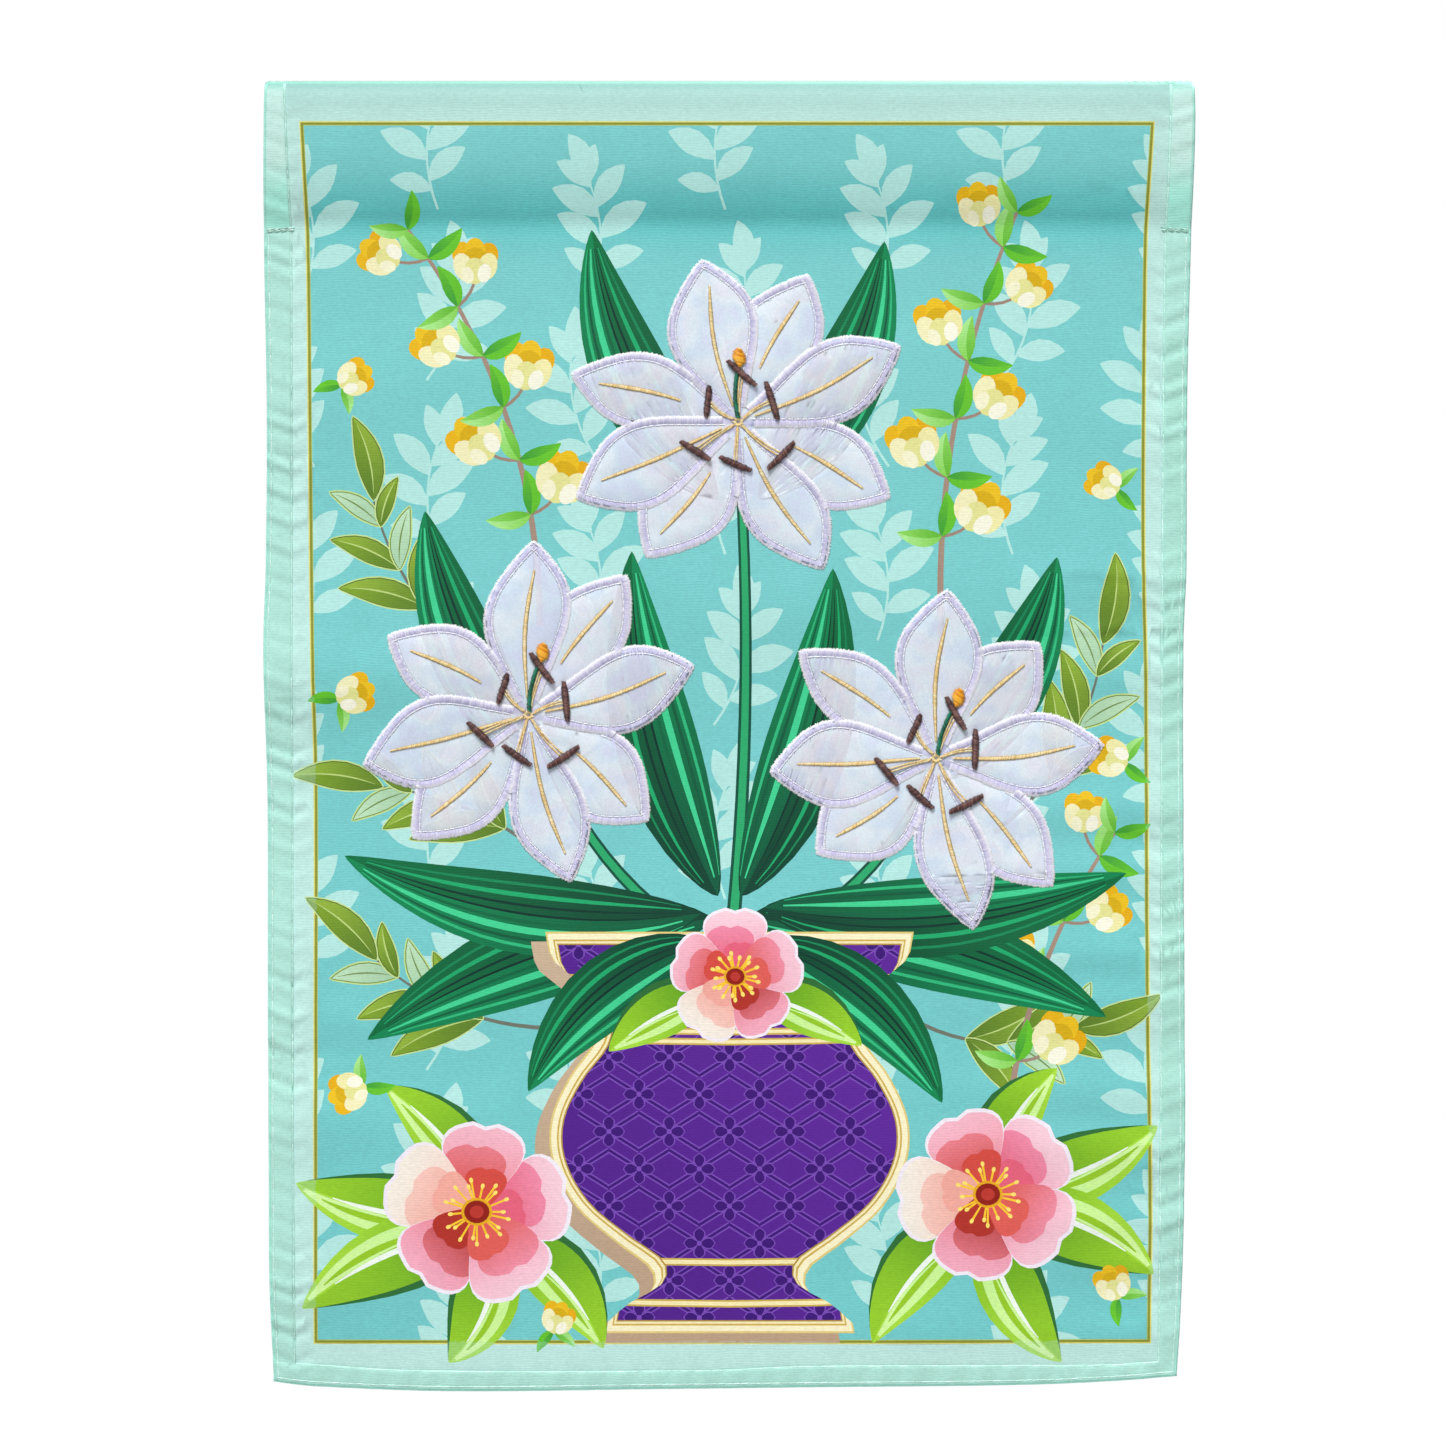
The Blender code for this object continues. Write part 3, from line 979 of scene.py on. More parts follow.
@dataclass(frozen=True)
class FlagPrint:
    """The print of a layer: border, gold line, leafy ground and, in front, the bouquet."""

    drape: Drape
    line: Curve = Curve((
        (15, -148.6, 146.9), (50, -147, 145), (83, -146.4, 144.4),
        (163, -145.6, 143.9), (205, -144.9, 144.8), (242, -144, 145),
        (316, -143.9, 145.3), (393, -144.1, 146.6), (440, -144.3, 146.4),
    ))
    top: float = 15.6
    bottom: float = 439.6
    pitch_x: float = 50.0
    pitch_z: float = 60.0

    def rectangle(self, inset: float) -> Array:
        """The gold line's rectangle, drawn in by a margin."""
        drops = np.linspace(self.top + inset, self.bottom - inset, 34)
        return np.concatenate([self.line.down(drops, 1, inset),
                               self.line.down(drops, 2, -inset)[::-1]])

    def seam_area(self) -> Array:
        """The area inside the hem seams, open at the top edge."""
        drops = np.linspace(-1.0, 448.0, 60)
        low = self.drape.bottom_seam.along(np.linspace(-151.0, 149.6, 50))
        return np.concatenate([self.drape.side_seams.down(drops, 1)[:-1], low,
                               self.drape.side_seams.down(drops, 2)[::-1][1:]])

    def ground(self) -> Print:
        """The print that both layers share, and the whole print of the back."""
        page = Print()
        # Hem tones: plain mint, paler above the tack. The rows that darken the top corners, make
        # the hem more saturated just above the tack and darken the right hem are painted shade.
        for left, low, high, near, far, start, end in (
            (-170, -465, 5, "ACDDD0", "ACDDD0", 0, 1),
            (-170, -51, 5, "BFE3DA", "BFE3DA", 0, 1),
            (-170, -6, 5, "7FB8AB", "BFE3DA", -1, -5.5),
            (-170, -51, -22, "BFE3DA", "A9ECDB", -26, -42),
            (150, -465, -90, "A7DACC", "ACDDD0", -370, -430),
        ):
            page.box(left, low, 170, high, Paint.graded(near, far, (0, start), (0, end)))
        page.fill(self.seam_area(), "BAE2DB")
        # Painted shade: the top border darkens towards the top fold.
        page.fill([(-154.4, -18), (153.0, -18), (153.4, 5), (-154.6, 5)],
                  Paint.graded("84B2AA", "A9D3CC", (0, -1), (0, -6)))
        page.fill([(-154.0, -18), (152.6, -18), (153.0, -6), (-154.4, -6)],
                  Paint.graded("A9D3CC", "B7DED7", (0, -6), (0, -15)))
        for inset, code in ((-0.9, "DCDA7E"), (-0.52, "A8A43C"), (-0.32, "868E34"),
                            (0.38, "B2BE62")):
            page.fill(self.rectangle(inset), code)
        page.frame = page.fill(self.rectangle(0.66),
                               Paint.graded("71C5C5", "78C8C7", (0, -440), (0, -15)))
        page.clip = page.frame
        # Painted shade: a darker, more saturated band across the ground under the sleeve, deepest
        # just above the tack.
        for low, high, near, far in ((-46, -26, "61C0C0", "78C8C7"),
                                     (-64, -46, "77C7C7", "61C0C0")):
            page.box(-150, low, 150, high, Paint.graded(near, far, (0, low), (0, high)))
        for column in range(-3, 4):
            for row in range(-1, 8):
                odd = column % 2
                z = -20.0 - (row + 0.5 * odd) * self.pitch_z
                hand = 1 if (row + column) % 2 else -1
                PaleSprig((column * self.pitch_x, z), 50.0, hand, 8.0 if odd else -8.0).draw(page)
        page.clip = None
        return page

    def front(self) -> Print:
        """The print of the front layer, with the bouquet in its urn."""
        page = self.ground()
        for motif in (
            OliveSpray((-62, -330), (-123, -306), 6, 34),
            OliveSpray((-58, -276), (-121, -246), -6, 33),
            OliveSpray((62, -326), (120, -330), -7, 34),
            OliveSpray((92, -262), (130, -196), -8, 33),
            OliveSpray((-88, -200), (-124, -146), 6, 31),
            YellowBranch((-66, -190), (-112, -52), -12, 6, 22),
            YellowBranch((74, -200), (100, -46), 9, 6, 22),
            YellowBranch((96, -372), (134, -262), 8, 4, 21),
        ):
            motif.draw(page)
        for tip, bend in (((3, -125), -4), ((-66, -228), 10), ((70, -242), -10)):
            stem = Spine((0, -306), tip, bend).way(14)
            page.line(stem, 5.2, 3.6, "0C4F3C")
            page.line(stem, 3.0, 2.0, "2AA569")
        for leaf in (
            StripedLeaf((-6, -292), (-126, -334), 31, -8, 1),
            StripedLeaf((6, -292), (131, -326), 31, 8, -1),
            StripedLeaf((-10, -290), (-134, -270), 28, 10, 1),
            StripedLeaf((12, -288), (138, -276), 28, -9, 1),
            StripedLeaf((-4, -284), (-34, -164), 29, 8, -1),
            StripedLeaf((4, -284), (36, -170), 29, -8, 1),
            StripedLeaf((-4, -146), (-48, -52), 27, 9, 1),
            StripedLeaf((10, -146), (54, -56), 27, -9, -1),
            StripedLeaf((-70, -236), (-106, -150), 25, 6, 1),
            StripedLeaf((72, -244), (114, -166), 25, -7, -1),
        ):
            leaf.draw(page)
        Urn().draw(page)
        for motif in (
            StripedLeaf((-8, -300), (-70, -352), 25, -9, 1),
            StripedLeaf((10, -300), (74, -356), 25, 9, -1),
            LimeLeaf((-84, -396), (-151, -384), 23, 4, 1),
            LimeLeaf((-84, -400), (-149, -428), 24, -5, -1),
            LimeLeaf((-82, -404), (-98, -447), 22, 5, 1),
            LimeLeaf((-80, -402), (-44, -442), 21, 5, -1),
            LimeLeaf((-84, -392), (-120, -350), 20, -4, 1),
            LimeLeaf((92, -388), (149, -364), 23, -4, -1),
            LimeLeaf((92, -392), (148, -416), 24, 5, 1),
            LimeLeaf((90, -396), (116, -447), 22, -5, -1),
            LimeLeaf((88, -396), (50, -440), 22, -5, 1),
            LimeLeaf((90, -384), (114, -344), 19, 4, -1),
            LimeLeaf((-4, -318), (-42, -338), 17, -3, 1),
            LimeLeaf((8, -318), (46, -336), 17, 3, -1),
            PinkBlossom((-88, -394), 33, 12),
            PinkBlossom((90, -388), 32, 40),
            PinkBlossom((2, -312), 24, 90),
            LooseCup((-131, -214), 12, 20),
            LooseCup((131, -140), 11, 150),
            LooseCup((-132, -352), 12, 200),
            LooseCup((133, -236), 12, 160),
            LooseCup((-131, -104), 11, 30),
            LooseCup((-60, -432), 10, 70),
            LooseCup((134, -420), 11, 110),
        ):
            motif.draw(page)
        return page


@dataclass(frozen=True)
class Nodes:
    """Adds linked shader nodes round one shader."""

    tree: bpy.types.NodeTree
    shader: bpy.types.Node

    def add(self, kind: str, sockets: dict[str | int, object],
            **settings: object) -> bpy.types.Node:
        """Add a node.

        Args:
            kind: The node's type, without its prefix.
            sockets: A value, or another node's output, for each named input.
            settings: The node's own settings.

        Returns:
            The node.
        """
        node = self.tree.nodes.new("ShaderNode" + kind)
        for name, value in settings.items():
            setattr(node, name, value)
        for name, value in sockets.items():
            if isinstance(value, bpy.types.NodeSocket):
                self.tree.links.new(value, node.inputs[name])
            else:
                node.inputs[name].default_value = value
        return node

    def step(self, operation: str, *terms: object) -> Socket:
        """One step of arithmetic on numbers or outputs."""
        return self.add("Math", dict(enumerate(terms)), operation=operation).outputs[0]

    def times(self, value: Socket, factor: object) -> Socket:
        """A value multiplied by a factor."""
        return self.step("MULTIPLY", value, factor)

    def plus(self, first: Socket, second: object) -> Socket:
        """Two values added."""
        return self.step("ADD", first, second)

    def swing(self, value: Socket, reach: float) -> Socket:
        """A noise between 0 and 1 turned into a swing about 0."""
        return self.times(self.step("SUBTRACT", value, 0.5), reach)

    def ridges(self, axis: Socket, pitch: float) -> Socket:
        """Even ridges from -1 to 1 along an axis in metres, at a pitch in millimetres."""
        return self.step("SINE", self.times(axis, math.tau / (pitch * MM)))

    def place(self) -> Socket:
        """The place on the object."""
        return self.add("TexCoord", {}).outputs["Object"]

    def noise(self, place: Socket, scale: float, detail: float = 2.0) -> Socket:
        """A soft noise between 0 and 1."""
        return self.add("TexNoise", {"Vector": place, "Scale": scale, "Detail": detail}).outputs[0]

    def dyed(self) -> Socket:
        """The colours that the mesh holds."""
        return self.add("VertexColor", {}, layer_name=DYE).outputs["Color"]

    def coat(self, colour: object, value: Socket, roughness: float, gloss: float) -> None:
        """Give the shader its look.

        Args:
            colour: The colour, or an output with it.
            value: How light the colour is from place to place.
            roughness: The surface's roughness.
            gloss: The strength of its reflections.
        """
        toned = self.add("HueSaturation", {"Color": colour, "Value": value})
        self.tree.links.new(toned.outputs[0], self.shader.inputs["Base Color"])
        self.shader.inputs["Roughness"].default_value = roughness
        self.shader.inputs["Specular IOR Level"].default_value = gloss

    def relief(self, height: Socket, strength: float, distance: float) -> None:
        """Give the shader a fine relief with a depth in metres."""
        sockets = {"Height": height, "Strength": strength, "Distance": distance}
        self.tree.links.new(self.add("Bump", sockets).outputs[0], self.shader.inputs["Normal"])


@dataclass(frozen=True)
class Finish:
    """The start of every finish: a named material and the nodes round its shader."""

    name: str

    def material(self) -> bpy.types.Material:
        """Make the finish."""
        material = bpy.data.materials.new(self.name)
        material.use_nodes = True
        self.dress(Nodes(material.node_tree, material.node_tree.nodes["Principled BSDF"]))
        return material

    def dress(self, nodes: Nodes) -> None:
        """Add the nodes that make the look.

        Args:
            nodes: The nodes round the material's shader.
        """
        raise NotImplementedError


@dataclass(frozen=True)
class ClothFinish(Finish):
    """Plain woven polyester with a printed face."""

    rib: float = 0.9
    wander: float = 2.2
    yarn: float = 0.42
    roughness: float = 0.58
    mottle: float = 0.05

    def dress(self, nodes: Nodes) -> None:
        """Weave the finish over the print's colours."""
        place = nodes.place()
        axes = nodes.add("SeparateXYZ", {0: place}).outputs
        slub = nodes.noise(place, 900.0)
        cloud = nodes.noise(place, 55.0, 3.0)
        bent = nodes.plus(axes[2], nodes.times(nodes.noise(place, 90.0), self.wander * MM))
        rib = nodes.times(nodes.ridges(bent, self.rib), cloud)
        weave = nodes.times(nodes.ridges(axes[0], self.yarn), nodes.ridges(axes[2], self.yarn))
        height = nodes.step("MULTIPLY_ADD", rib, 0.5, 0.5)
        height = nodes.plus(height, nodes.times(weave, 0.25))
        nodes.relief(nodes.plus(height, nodes.times(slub, 0.5)), 0.35, 0.00012)
        wide = nodes.add("VectorMath", {0: place, 1: (0.33, 1.0, 1.0)}, operation="MULTIPLY")
        picks = nodes.swing(nodes.noise(wide.outputs[0], 1900.0, 1.0), 0.22)
        tone = nodes.plus(nodes.times(rib, 0.05), nodes.times(weave, 0.02))
        mixed = nodes.plus(nodes.swing(cloud, self.mottle * 2), picks)
        grain = nodes.plus(nodes.swing(slub, 0.16), 1.0)
        value = nodes.plus(nodes.plus(tone, mixed), grain)
        nodes.coat(nodes.dyed(), value, self.roughness, 0.2)


@dataclass(frozen=True)
class SatinFinish(Finish):
    """Thin white satin with soft pastel clouds."""

    roughness: float = 0.42
    clouds: tuple[Colour, ...] = (
        (0.85, 0.84, 0.95), (0.86, 0.9, 0.96), (0.95, 0.96, 0.96), (0.97, 0.91, 0.94),
        (0.89, 0.88, 0.96),
    )

    def dress(self, nodes: Nodes) -> None:
        """Lay the satin over what shows through it."""
        place = nodes.place()
        axes = nodes.add("SeparateXYZ", {0: place}).outputs
        share = nodes.add("MapRange", {"Value": nodes.noise(place, 75.0), "From Min": 0.34,
                                       "From Max": 0.68})
        tint = nodes.add("ValToRGB", {"Fac": share.outputs[0]})
        ramp = tint.color_ramp
        ramp.elements[0].color = (*self.clouds[0], 1.0)
        ramp.elements[1].color = (*self.clouds[-1], 1.0)
        for number, cloud_tint in enumerate(self.clouds[1:-1], 1):
            stop = ramp.elements.new(number / (len(self.clouds) - 1))
            stop.color = (*cloud_tint, 1.0)
        mixed = nodes.add("MixRGB", {"Fac": 1.0, "Color1": nodes.dyed(),
                                     "Color2": tint.outputs[0]}, blend_type="MULTIPLY")
        value = nodes.plus(nodes.times(nodes.noise(place, 1400.0), 0.3), 0.85)
        nodes.coat(mixed.outputs[0], value, self.roughness, 0.45)
        nodes.shader.inputs["Sheen Weight"].default_value = 0.1
        yarn = nodes.times(nodes.ridges(axes[0], 0.3), 0.4)
        wrinkle = nodes.times(nodes.noise(place, 160.0, 3.0), 3.0)
        nodes.relief(nodes.plus(yarn, wrinkle), 0.3, 0.0001)


@dataclass(frozen=True)
class ThreadFinish(Finish):
    """Glossy twisted embroidery thread in its own dyes."""

    roughness: float = 0.38
    twist: float = 2600.0

    def dress(self, nodes: Nodes) -> None:
        """Twist the finish over the thread's colours."""
        ply = nodes.noise(nodes.place(), self.twist, 1.0)
        nodes.coat(nodes.dyed(), nodes.plus(nodes.swing(ply, 0.3), 1.0), self.roughness, 0.5)
        nodes.relief(ply, 0.3, 0.0001)


@dataclass(frozen=True)
class FloorFinish(Finish):
    """Matt pale studio floor."""

    grey: float = 0.82

    def dress(self, nodes: Nodes) -> None:
        """Make the floor pale, with a faint unevenness."""
        value = nodes.plus(nodes.times(nodes.noise(nodes.place(), 3.0), 0.04), 0.96)
        nodes.coat((self.grey, self.grey, self.grey, 1.0), value, 0.9, 0.5)


def put(name: str, data: bpy.types.ID) -> bpy.types.Object:
    """Put an object with a mesh, camera or light in the scene."""
    made = bpy.data.objects.new(name, data)
    bpy.context.scene.collection.objects.link(made)
    return made


@dataclass
class Piece:
    """One piece's mesh: points in metres, and faces that all have the same number of corners.

    The dyes go by point, or by corner where the piece is a sheet, which has a chart for each
    corner and may have the way that each corner faces.
    """

    name: str
    points: Array
    faces: Array
    dyes: Array
    chart: Array | None = None
    facing: Array | None = None

    def changed(self, change: Callable[[Array], Array]) -> Piece:
        """Change a sheet's triangles together with all that their corners carry.

        Args:
            change: Picks triangles from an array of them, or turns them over.

        Returns:
            The changed sheet.
        """
        carried = (
            None if rows is None
            else change(rows.reshape(-1, 3, rows.shape[1])).reshape(-1, rows.shape[1])
            for rows in (self.dyes, self.chart, self.facing)
        )
        return Piece(self.name, self.points, change(self.faces), *carried)

    def undoubled(self) -> Piece:
        """The same sheet without the pairs of triangles that share all their corners."""
        _, which, counts = np.unique(np.sort(self.faces, axis=1), axis=0, return_inverse=True,
                                     return_counts=True)
        single = counts[which.ravel()] == 1
        return self.changed(lambda rows: rows[single])

    def make(self, slot: str, material: bpy.types.Material, *stands_for: str) -> bpy.types.Object:
        """Put the piece in the scene.

        Args:
            slot: Not used.
            material: Its finish.
            stands_for: Names of the CAD nodes that it stands for.

        Returns:
            The new object.
        """
        mesh = bpy.data.meshes.new(self.name)
        mesh.vertices.add(len(self.points))
        mesh.vertices.foreach_set("co", self.points.astype(np.float32).ravel())
        count, corners = self.faces.shape
        mesh.loops.add(count * corners)
        mesh.loops.foreach_set("vertex_index", self.faces.astype(np.int32).ravel())
        mesh.polygons.add(count)
        mesh.polygons.foreach_set("loop_start", (np.arange(count) * corners).astype(np.int32))
        mesh.update(calc_edges=True)
        domain = "POINT" if self.chart is None else "CORNER"
        layer = mesh.color_attributes.new(DYE, "FLOAT_COLOR", domain)
        opaque = np.ones((len(self.dyes), 1))
        layer.data.foreach_set("color", np.hstack([self.dyes, opaque]).astype(np.float32).ravel())
        if self.chart is not None:
            chart = mesh.uv_layers.new(name="flat")
            chart.data.foreach_set("uv", self.chart.astype(np.float32).ravel())
        mesh.shade_smooth()
        if self.facing is not None:
            mesh.normals_split_custom_set(self.facing.tolist())
        mesh.materials.append(material)
        piece = put(self.name, mesh)
        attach(piece, "root")
        if stands_for:
            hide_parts(*stands_for)
        LOG.info("%s: %d points, %d faces", self.name, len(self.points), count)
        return piece


@dataclass
class Cut:
    """Flat cloth cut into triangles along outlines and along every printed edge."""

    flat: Array
    triangles: Array
    printed: Array

    @classmethod
    def make(cls, outlines: list[Array], page: Print, grid: Array, merge: float = 0.008) -> Cut:
        """Cut the cloth.

        Args:
            outlines: The piece's own outlines; what lies in none of them is dropped.
            page: The print on it.
            grid: More places that get a corner.
            merge: Places closer than this become one.

        Returns:
            The cut cloth, with the print shape of each triangle.
        """
        rings = outlines + [shape.outline for shape in page.shapes]
        places = [Vector(place) for place in np.concatenate([*rings, grid]).tolist()]
        ends = np.cumsum([0] + [len(ring) for ring in rings])
        corners = [list(range(start, end)) for start, end in zip(ends[:-1], ends[1:])]
        flat, _, faces, _, _, owners = delaunay_2d_cdt(places, [], corners, 0, merge, True)
        own = len(outlines)
        kept, printed = [], []
        for face, owner in zip(faces, owners):
            if len(face) == 3 and owner and min(owner) < own:
                kept.append(face)
                printed.append(page.topmost([number - own for number in owner if number >= own]))
        used, triangles = np.unique(np.array(kept), return_inverse=True)
        flat = np.array([tuple(place) for place in flat])
        return cls(flat[used], triangles.reshape(-1, 3), np.array(printed))

    def rim(self) -> list[int]:
        """Numbers of the places round the edge, in order."""
        a = self.triangles.ravel()
        b = np.roll(self.triangles, -1, axis=1).ravel()
        count = len(self.flat)
        free = ~np.isin(a * count + b, b * count + a)
        after = dict(zip(a[free].tolist(), b[free].tolist()))
        loops = []
        while after:
            loop = [next(iter(after))]
            while loop[-1] in after:
                loop.append(after.pop(loop[-1]))
            loops.append(loop[:-1])
        return max(loops, key=len)


@dataclass
class Sheet:
    """A cut cloth with a coarser inner side, which shares the rim of its outer side.

    The inner side's triangles number its own places on from those of the cut.
    """

    cut: Cut
    own: Array
    inner: Array
    outer_part: Place = (0.7, 0.98)
    inner_part: Place = (0.28, 0.39)
    inner_start: Place = (0.71, 0.0)

    @classmethod
    def make(cls, cut: Cut, grid: Array) -> Sheet:
        """Plan the inner side.

        Args:
            cut: The outer side.
            grid: Coarse places for the inner side.

        Returns:
            The sheet with both its sides.
        """
        rim = cut.rim()
        places = [Vector(place) for place in np.concatenate([cut.flat[rim], grid]).tolist()]
        flat, _, faces, origins, _, owners = delaunay_2d_cdt(
            places, [], [list(range(len(rim)))], 0, SAME_PLACE, True)
        numbers, own = [], []
        for place, origin in zip(flat, origins):
            on_rim = [number for number in origin if number < len(rim)]
            if on_rim:
                numbers.append(rim[on_rim[0]])
            else:
                numbers.append(len(cut.flat) + len(own))
                own.append(tuple(place))
        inside = [face for face, owner in zip(faces, owners) if owner and len(face) == 3]
        return cls(cut, np.array(own).reshape(-1, 2), np.array(numbers)[np.array(inside)][:, ::-1])

    def flat(self) -> Array:
        """The places of both sides on the flat cloth."""
        return np.concatenate([self.cut.flat, self.own])

    def piece(self, name: str, points: Array, dyes: Array, inside: Colour, chart: Array,
              facing: Array | None = None) -> Piece:
        """Join both sides.

        Args:
            name: The piece's name.
            points: Every place of both sides, in metres.
            dyes: The outer side's colour at each corner.
            inside: The inner side's colour.
            chart: Every place on a flat chart from 0 to 1.
            facing: The way that each corner faces, where it isn't left to the mesh.

        Returns:
            The piece, with a chart in which the two sides lie apart.
        """
        outer, inner = self.cut.triangles.ravel(), self.inner.ravel()
        charts = np.concatenate([chart[outer] * self.outer_part,
                                 chart[inner] * self.inner_part + self.inner_start])
        dyes = np.concatenate([dyes, np.tile(inside, (len(inner), 1))])
        triangles = np.concatenate([self.cut.triangles, self.inner])
        return Piece(name, points, triangles, dyes, charts, facing).undoubled()


def coarse_grid(low: Place, high: Place, pitch: float) -> Array:
    """Even places over a rectangle from its lower left to its upper right corner."""
    rows = (np.arange(start, end, pitch) for start, end in zip(low, high))
    return np.stack([part.ravel() for part in np.meshgrid(*rows)], axis=1)


@dataclass(frozen=True)
class FlagCloth:
    """One layer of the flag with its print: one sheet from the top fold to the lower hem."""

    layer: Layer
    drape: Drape
    page: Print
    merge: float = 0.008
    over_border: float = 0.16
    border: Colour = dye("BBE5DD")
    inside: Colour = dye("B8DCD6")
    inner_pitch: float = 12.0
    chart_corner: Place = (-165.0, -460.0)
    chart_size: Place = (330.0, 462.0)

    def colours(self, cut: Cut) -> Array:
        """Find the print's colours, paler where a motif runs over the border.

        Args:
            cut: The cut layer.

        Returns:
            A colour for each corner.
        """
        colours = self.page.colours(cut.flat[cut.triangles], cut.printed)
        x, z = cut.flat[cut.triangles].mean(axis=1).T
        line = FlagPrint.line
        outside = ((x < line.at(-z, 1)) | (x > line.at(-z, 2))
                   | (z > -FlagPrint.top) | (z < -FlagPrint.bottom))
        paler = (outside & (cut.printed > self.page.frame))[:, None, None] * self.over_border
        return (colours * (1 - paler) + np.array(self.border) * paler).reshape(-1, 3)

    def facing(self, flat: Array, inner: bool = False) -> Array:
        """Find the way that a side of the layer faces.

        Args:
            flat: Places on the flat cloth.
            inner: Whether they lie on the inner side.

        Returns:
            A unit vector for each place.
        """
        across, down = (
            self.drape.place(self.layer, flat + step, inner=inner)
            - self.drape.place(self.layer, flat - step, inner=inner)
            for step in (np.array([0.15, 0.0]), np.array([0.0, 0.15]))
        )
        return unit(np.cross(across, down) * self.layer.value * (1.0 if inner else -1.0))

    def build(self, *nodes: str) -> bpy.types.Object:
        """Make the layer.

        Args:
            nodes: The CAD nodes that it stands for.

        Returns:
            The sheet.
        """
        side = self.layer.name.lower()
        name = side + "_cloth"
        cut = Cut.make([self.drape.outline()], self.page, self.drape.grid(), self.merge)
        sheet = Sheet.make(cut, self.inner_grid())
        points = np.concatenate([self.drape.place(self.layer, cut.flat),
                                 self.drape.place(self.layer, sheet.own, inner=True)])
        facing = np.concatenate([self.facing(cut.flat)[cut.triangles.ravel()],
                                 self.facing(sheet.flat(), True)[sheet.inner.ravel()]])
        chart = (sheet.flat() - self.chart_corner) / self.chart_size
        piece = sheet.piece(name, points, self.colours(cut), self.inside, chart, facing)
        if self.layer is Layer.BACK:
            piece = piece.changed(lambda rows: rows[:, ::-1])
        made = piece.make(name, ClothFinish("printed_" + side).material(), *nodes)
        return made

    def inner_grid(self) -> Array:
        """Coarse places for the inner side, well inside the outline."""
        grid = coarse_grid((-156.0, -446.0), (156.0, -8.0), self.inner_pitch)
        strip = coarse_grid((-156.0, -6.5), (156.0, -1.0), 3.0)
        return np.concatenate([grid, strip])


@dataclass(frozen=True)
class Stitch:
    """How a stitch is formed.

    It has half a thickness, a rise, rings along the way, and each ring's share of a second colour.
    """

    thick: float
    rise: float
    rings: Rows = (
        (0, 0.5, 0), (0.28, 1, 0.9), (0.72, 1, 0.9), (1, 0.5, 0),
    )
    blend: Row = (1.0, 0.0, 0.0, 1.0)


@dataclass
class Yarn:
    """Collects the stitches of one piece, each a closed body of thread."""

    name: str
    chance: np.random.Generator
    points: list[Array] = field(default_factory=list)
    faces: list[Array] = field(default_factory=list)
    dyes: list[Array] = field(default_factory=list)
    count: int = 0

    def shades(self, codes: Codes, count: int, spread: float) -> Array:
        """A random choice of the thread's colours for stitches whose lightness strays."""
        tones = np.array([dye(code) for code in codes])[self.chance.integers(0, len(codes), count)]
        return np.clip(tones * (1 + spread * self.chance.standard_normal((count, 1))), 0.0, 1.0)

    def sew(self, start: Array, end: Array, stitch: Stitch, codes: Codes,
            spread: float, layer: Layer = Layer.FRONT, ends: Codes = ()) -> None:
        """Add stitches.

        Args:
            start: Where each one leaves the cloth, in metres.
            end: Where each one enters it again.
            stitch: Their form.
            codes: The thread's colours.
            spread: How far each one's lightness strays.
            layer: The layer that they are sewn on.
            ends: Other colours, that the rings of each one take a share of.
        """
        run = end - start
        side = unit(np.cross(run, [0.0, layer.value, 0.0]))
        lift = unit(np.cross(side, run))
        tint = self.shades(codes, len(run), spread)
        other = self.shades(ends, len(run), spread) if ends else tint
        corners = []
        for share, taper, arch in stitch.rings:
            middle = start + run * share + lift * (stitch.rise * arch * MM)
            for across, raised in ((0, 1), (-1, 0), (0, -1), (1, 0)):
                offset = side * across + lift * raised
                corners.append(middle + offset * (stitch.thick * taper * MM))
        block = np.stack(corners, axis=1)
        self.points.append(block.reshape(-1, 3))
        self.faces.append(self.body(len(start), len(stitch.rings)) + self.count)
        blend = np.repeat(stitch.blend, 4)[None, :, None]
        self.dyes.append((tint[:, None] * (1 - blend) + other[:, None] * blend).reshape(-1, 3))
        self.count += block.shape[0] * block.shape[1]

    @staticmethod
    def body(stitches: int, rings: int) -> Array:
        """Plan the faces of stitches.

        Args:
            stitches: How many there are.
            rings: How many rings each one has.

        Returns:
            The quads, by the numbers of their corners.
        """
        quads = [(0, 1, 2, 3)]
        for ring in range(0, 4 * (rings - 1), 4):
            for corner in range(4):
                after = (corner + 1) % 4
                quads.append((ring + corner, ring + 4 + corner, ring + 4 + after, ring + after))
        last = 4 * (rings - 1)
        quads.append((last + 3, last + 2, last + 1, last))
        offsets = np.arange(stitches)[:, None, None] * 4 * rings
        return (np.array(quads)[None] + offsets).reshape(-1, 4)

    def piece(self) -> Piece:
        """All the stitches as one piece."""
        return Piece(self.name, *map(np.concatenate, (self.points, self.faces, self.dyes)))


@dataclass(frozen=True)
class Seam:
    """A line on the flat cloth that is walked in even steps."""

    line: Array

    def length(self) -> float:
        """The line's length."""
        return float(np.linalg.norm(np.diff(self.line, axis=0), axis=1).sum())

    def at(self, distance: Array) -> Array:
        """Places at distances along the line."""
        steps = np.linalg.norm(np.diff(self.line, axis=0), axis=1)
        along = np.concatenate([[0.0], np.cumsum(steps)])
        return np.stack([np.interp(distance, along, row) for row in self.line.T], axis=1)

    def even(self, count: int) -> Array:
        """Even places from one end of the line to the other."""
        return self.at(np.linspace(0.0, self.length(), count))

    def walk(self, pitch: float, smooth: float = 0.8) -> tuple[Array, Array, Array]:
        """Walk the line.

        Args:
            pitch: Length of a step.
            smooth: Distance over which its direction is taken.

        Returns:
            The places, and the unit vectors along the line and to its left.
        """
        count = max(int(round(self.length() / pitch)), 1)
        distance = (np.arange(count) + 0.5) * self.length() / count
        along = unit(self.at(distance + smooth) - self.at(distance - smooth))
        return self.at(distance), along, left_of(along)


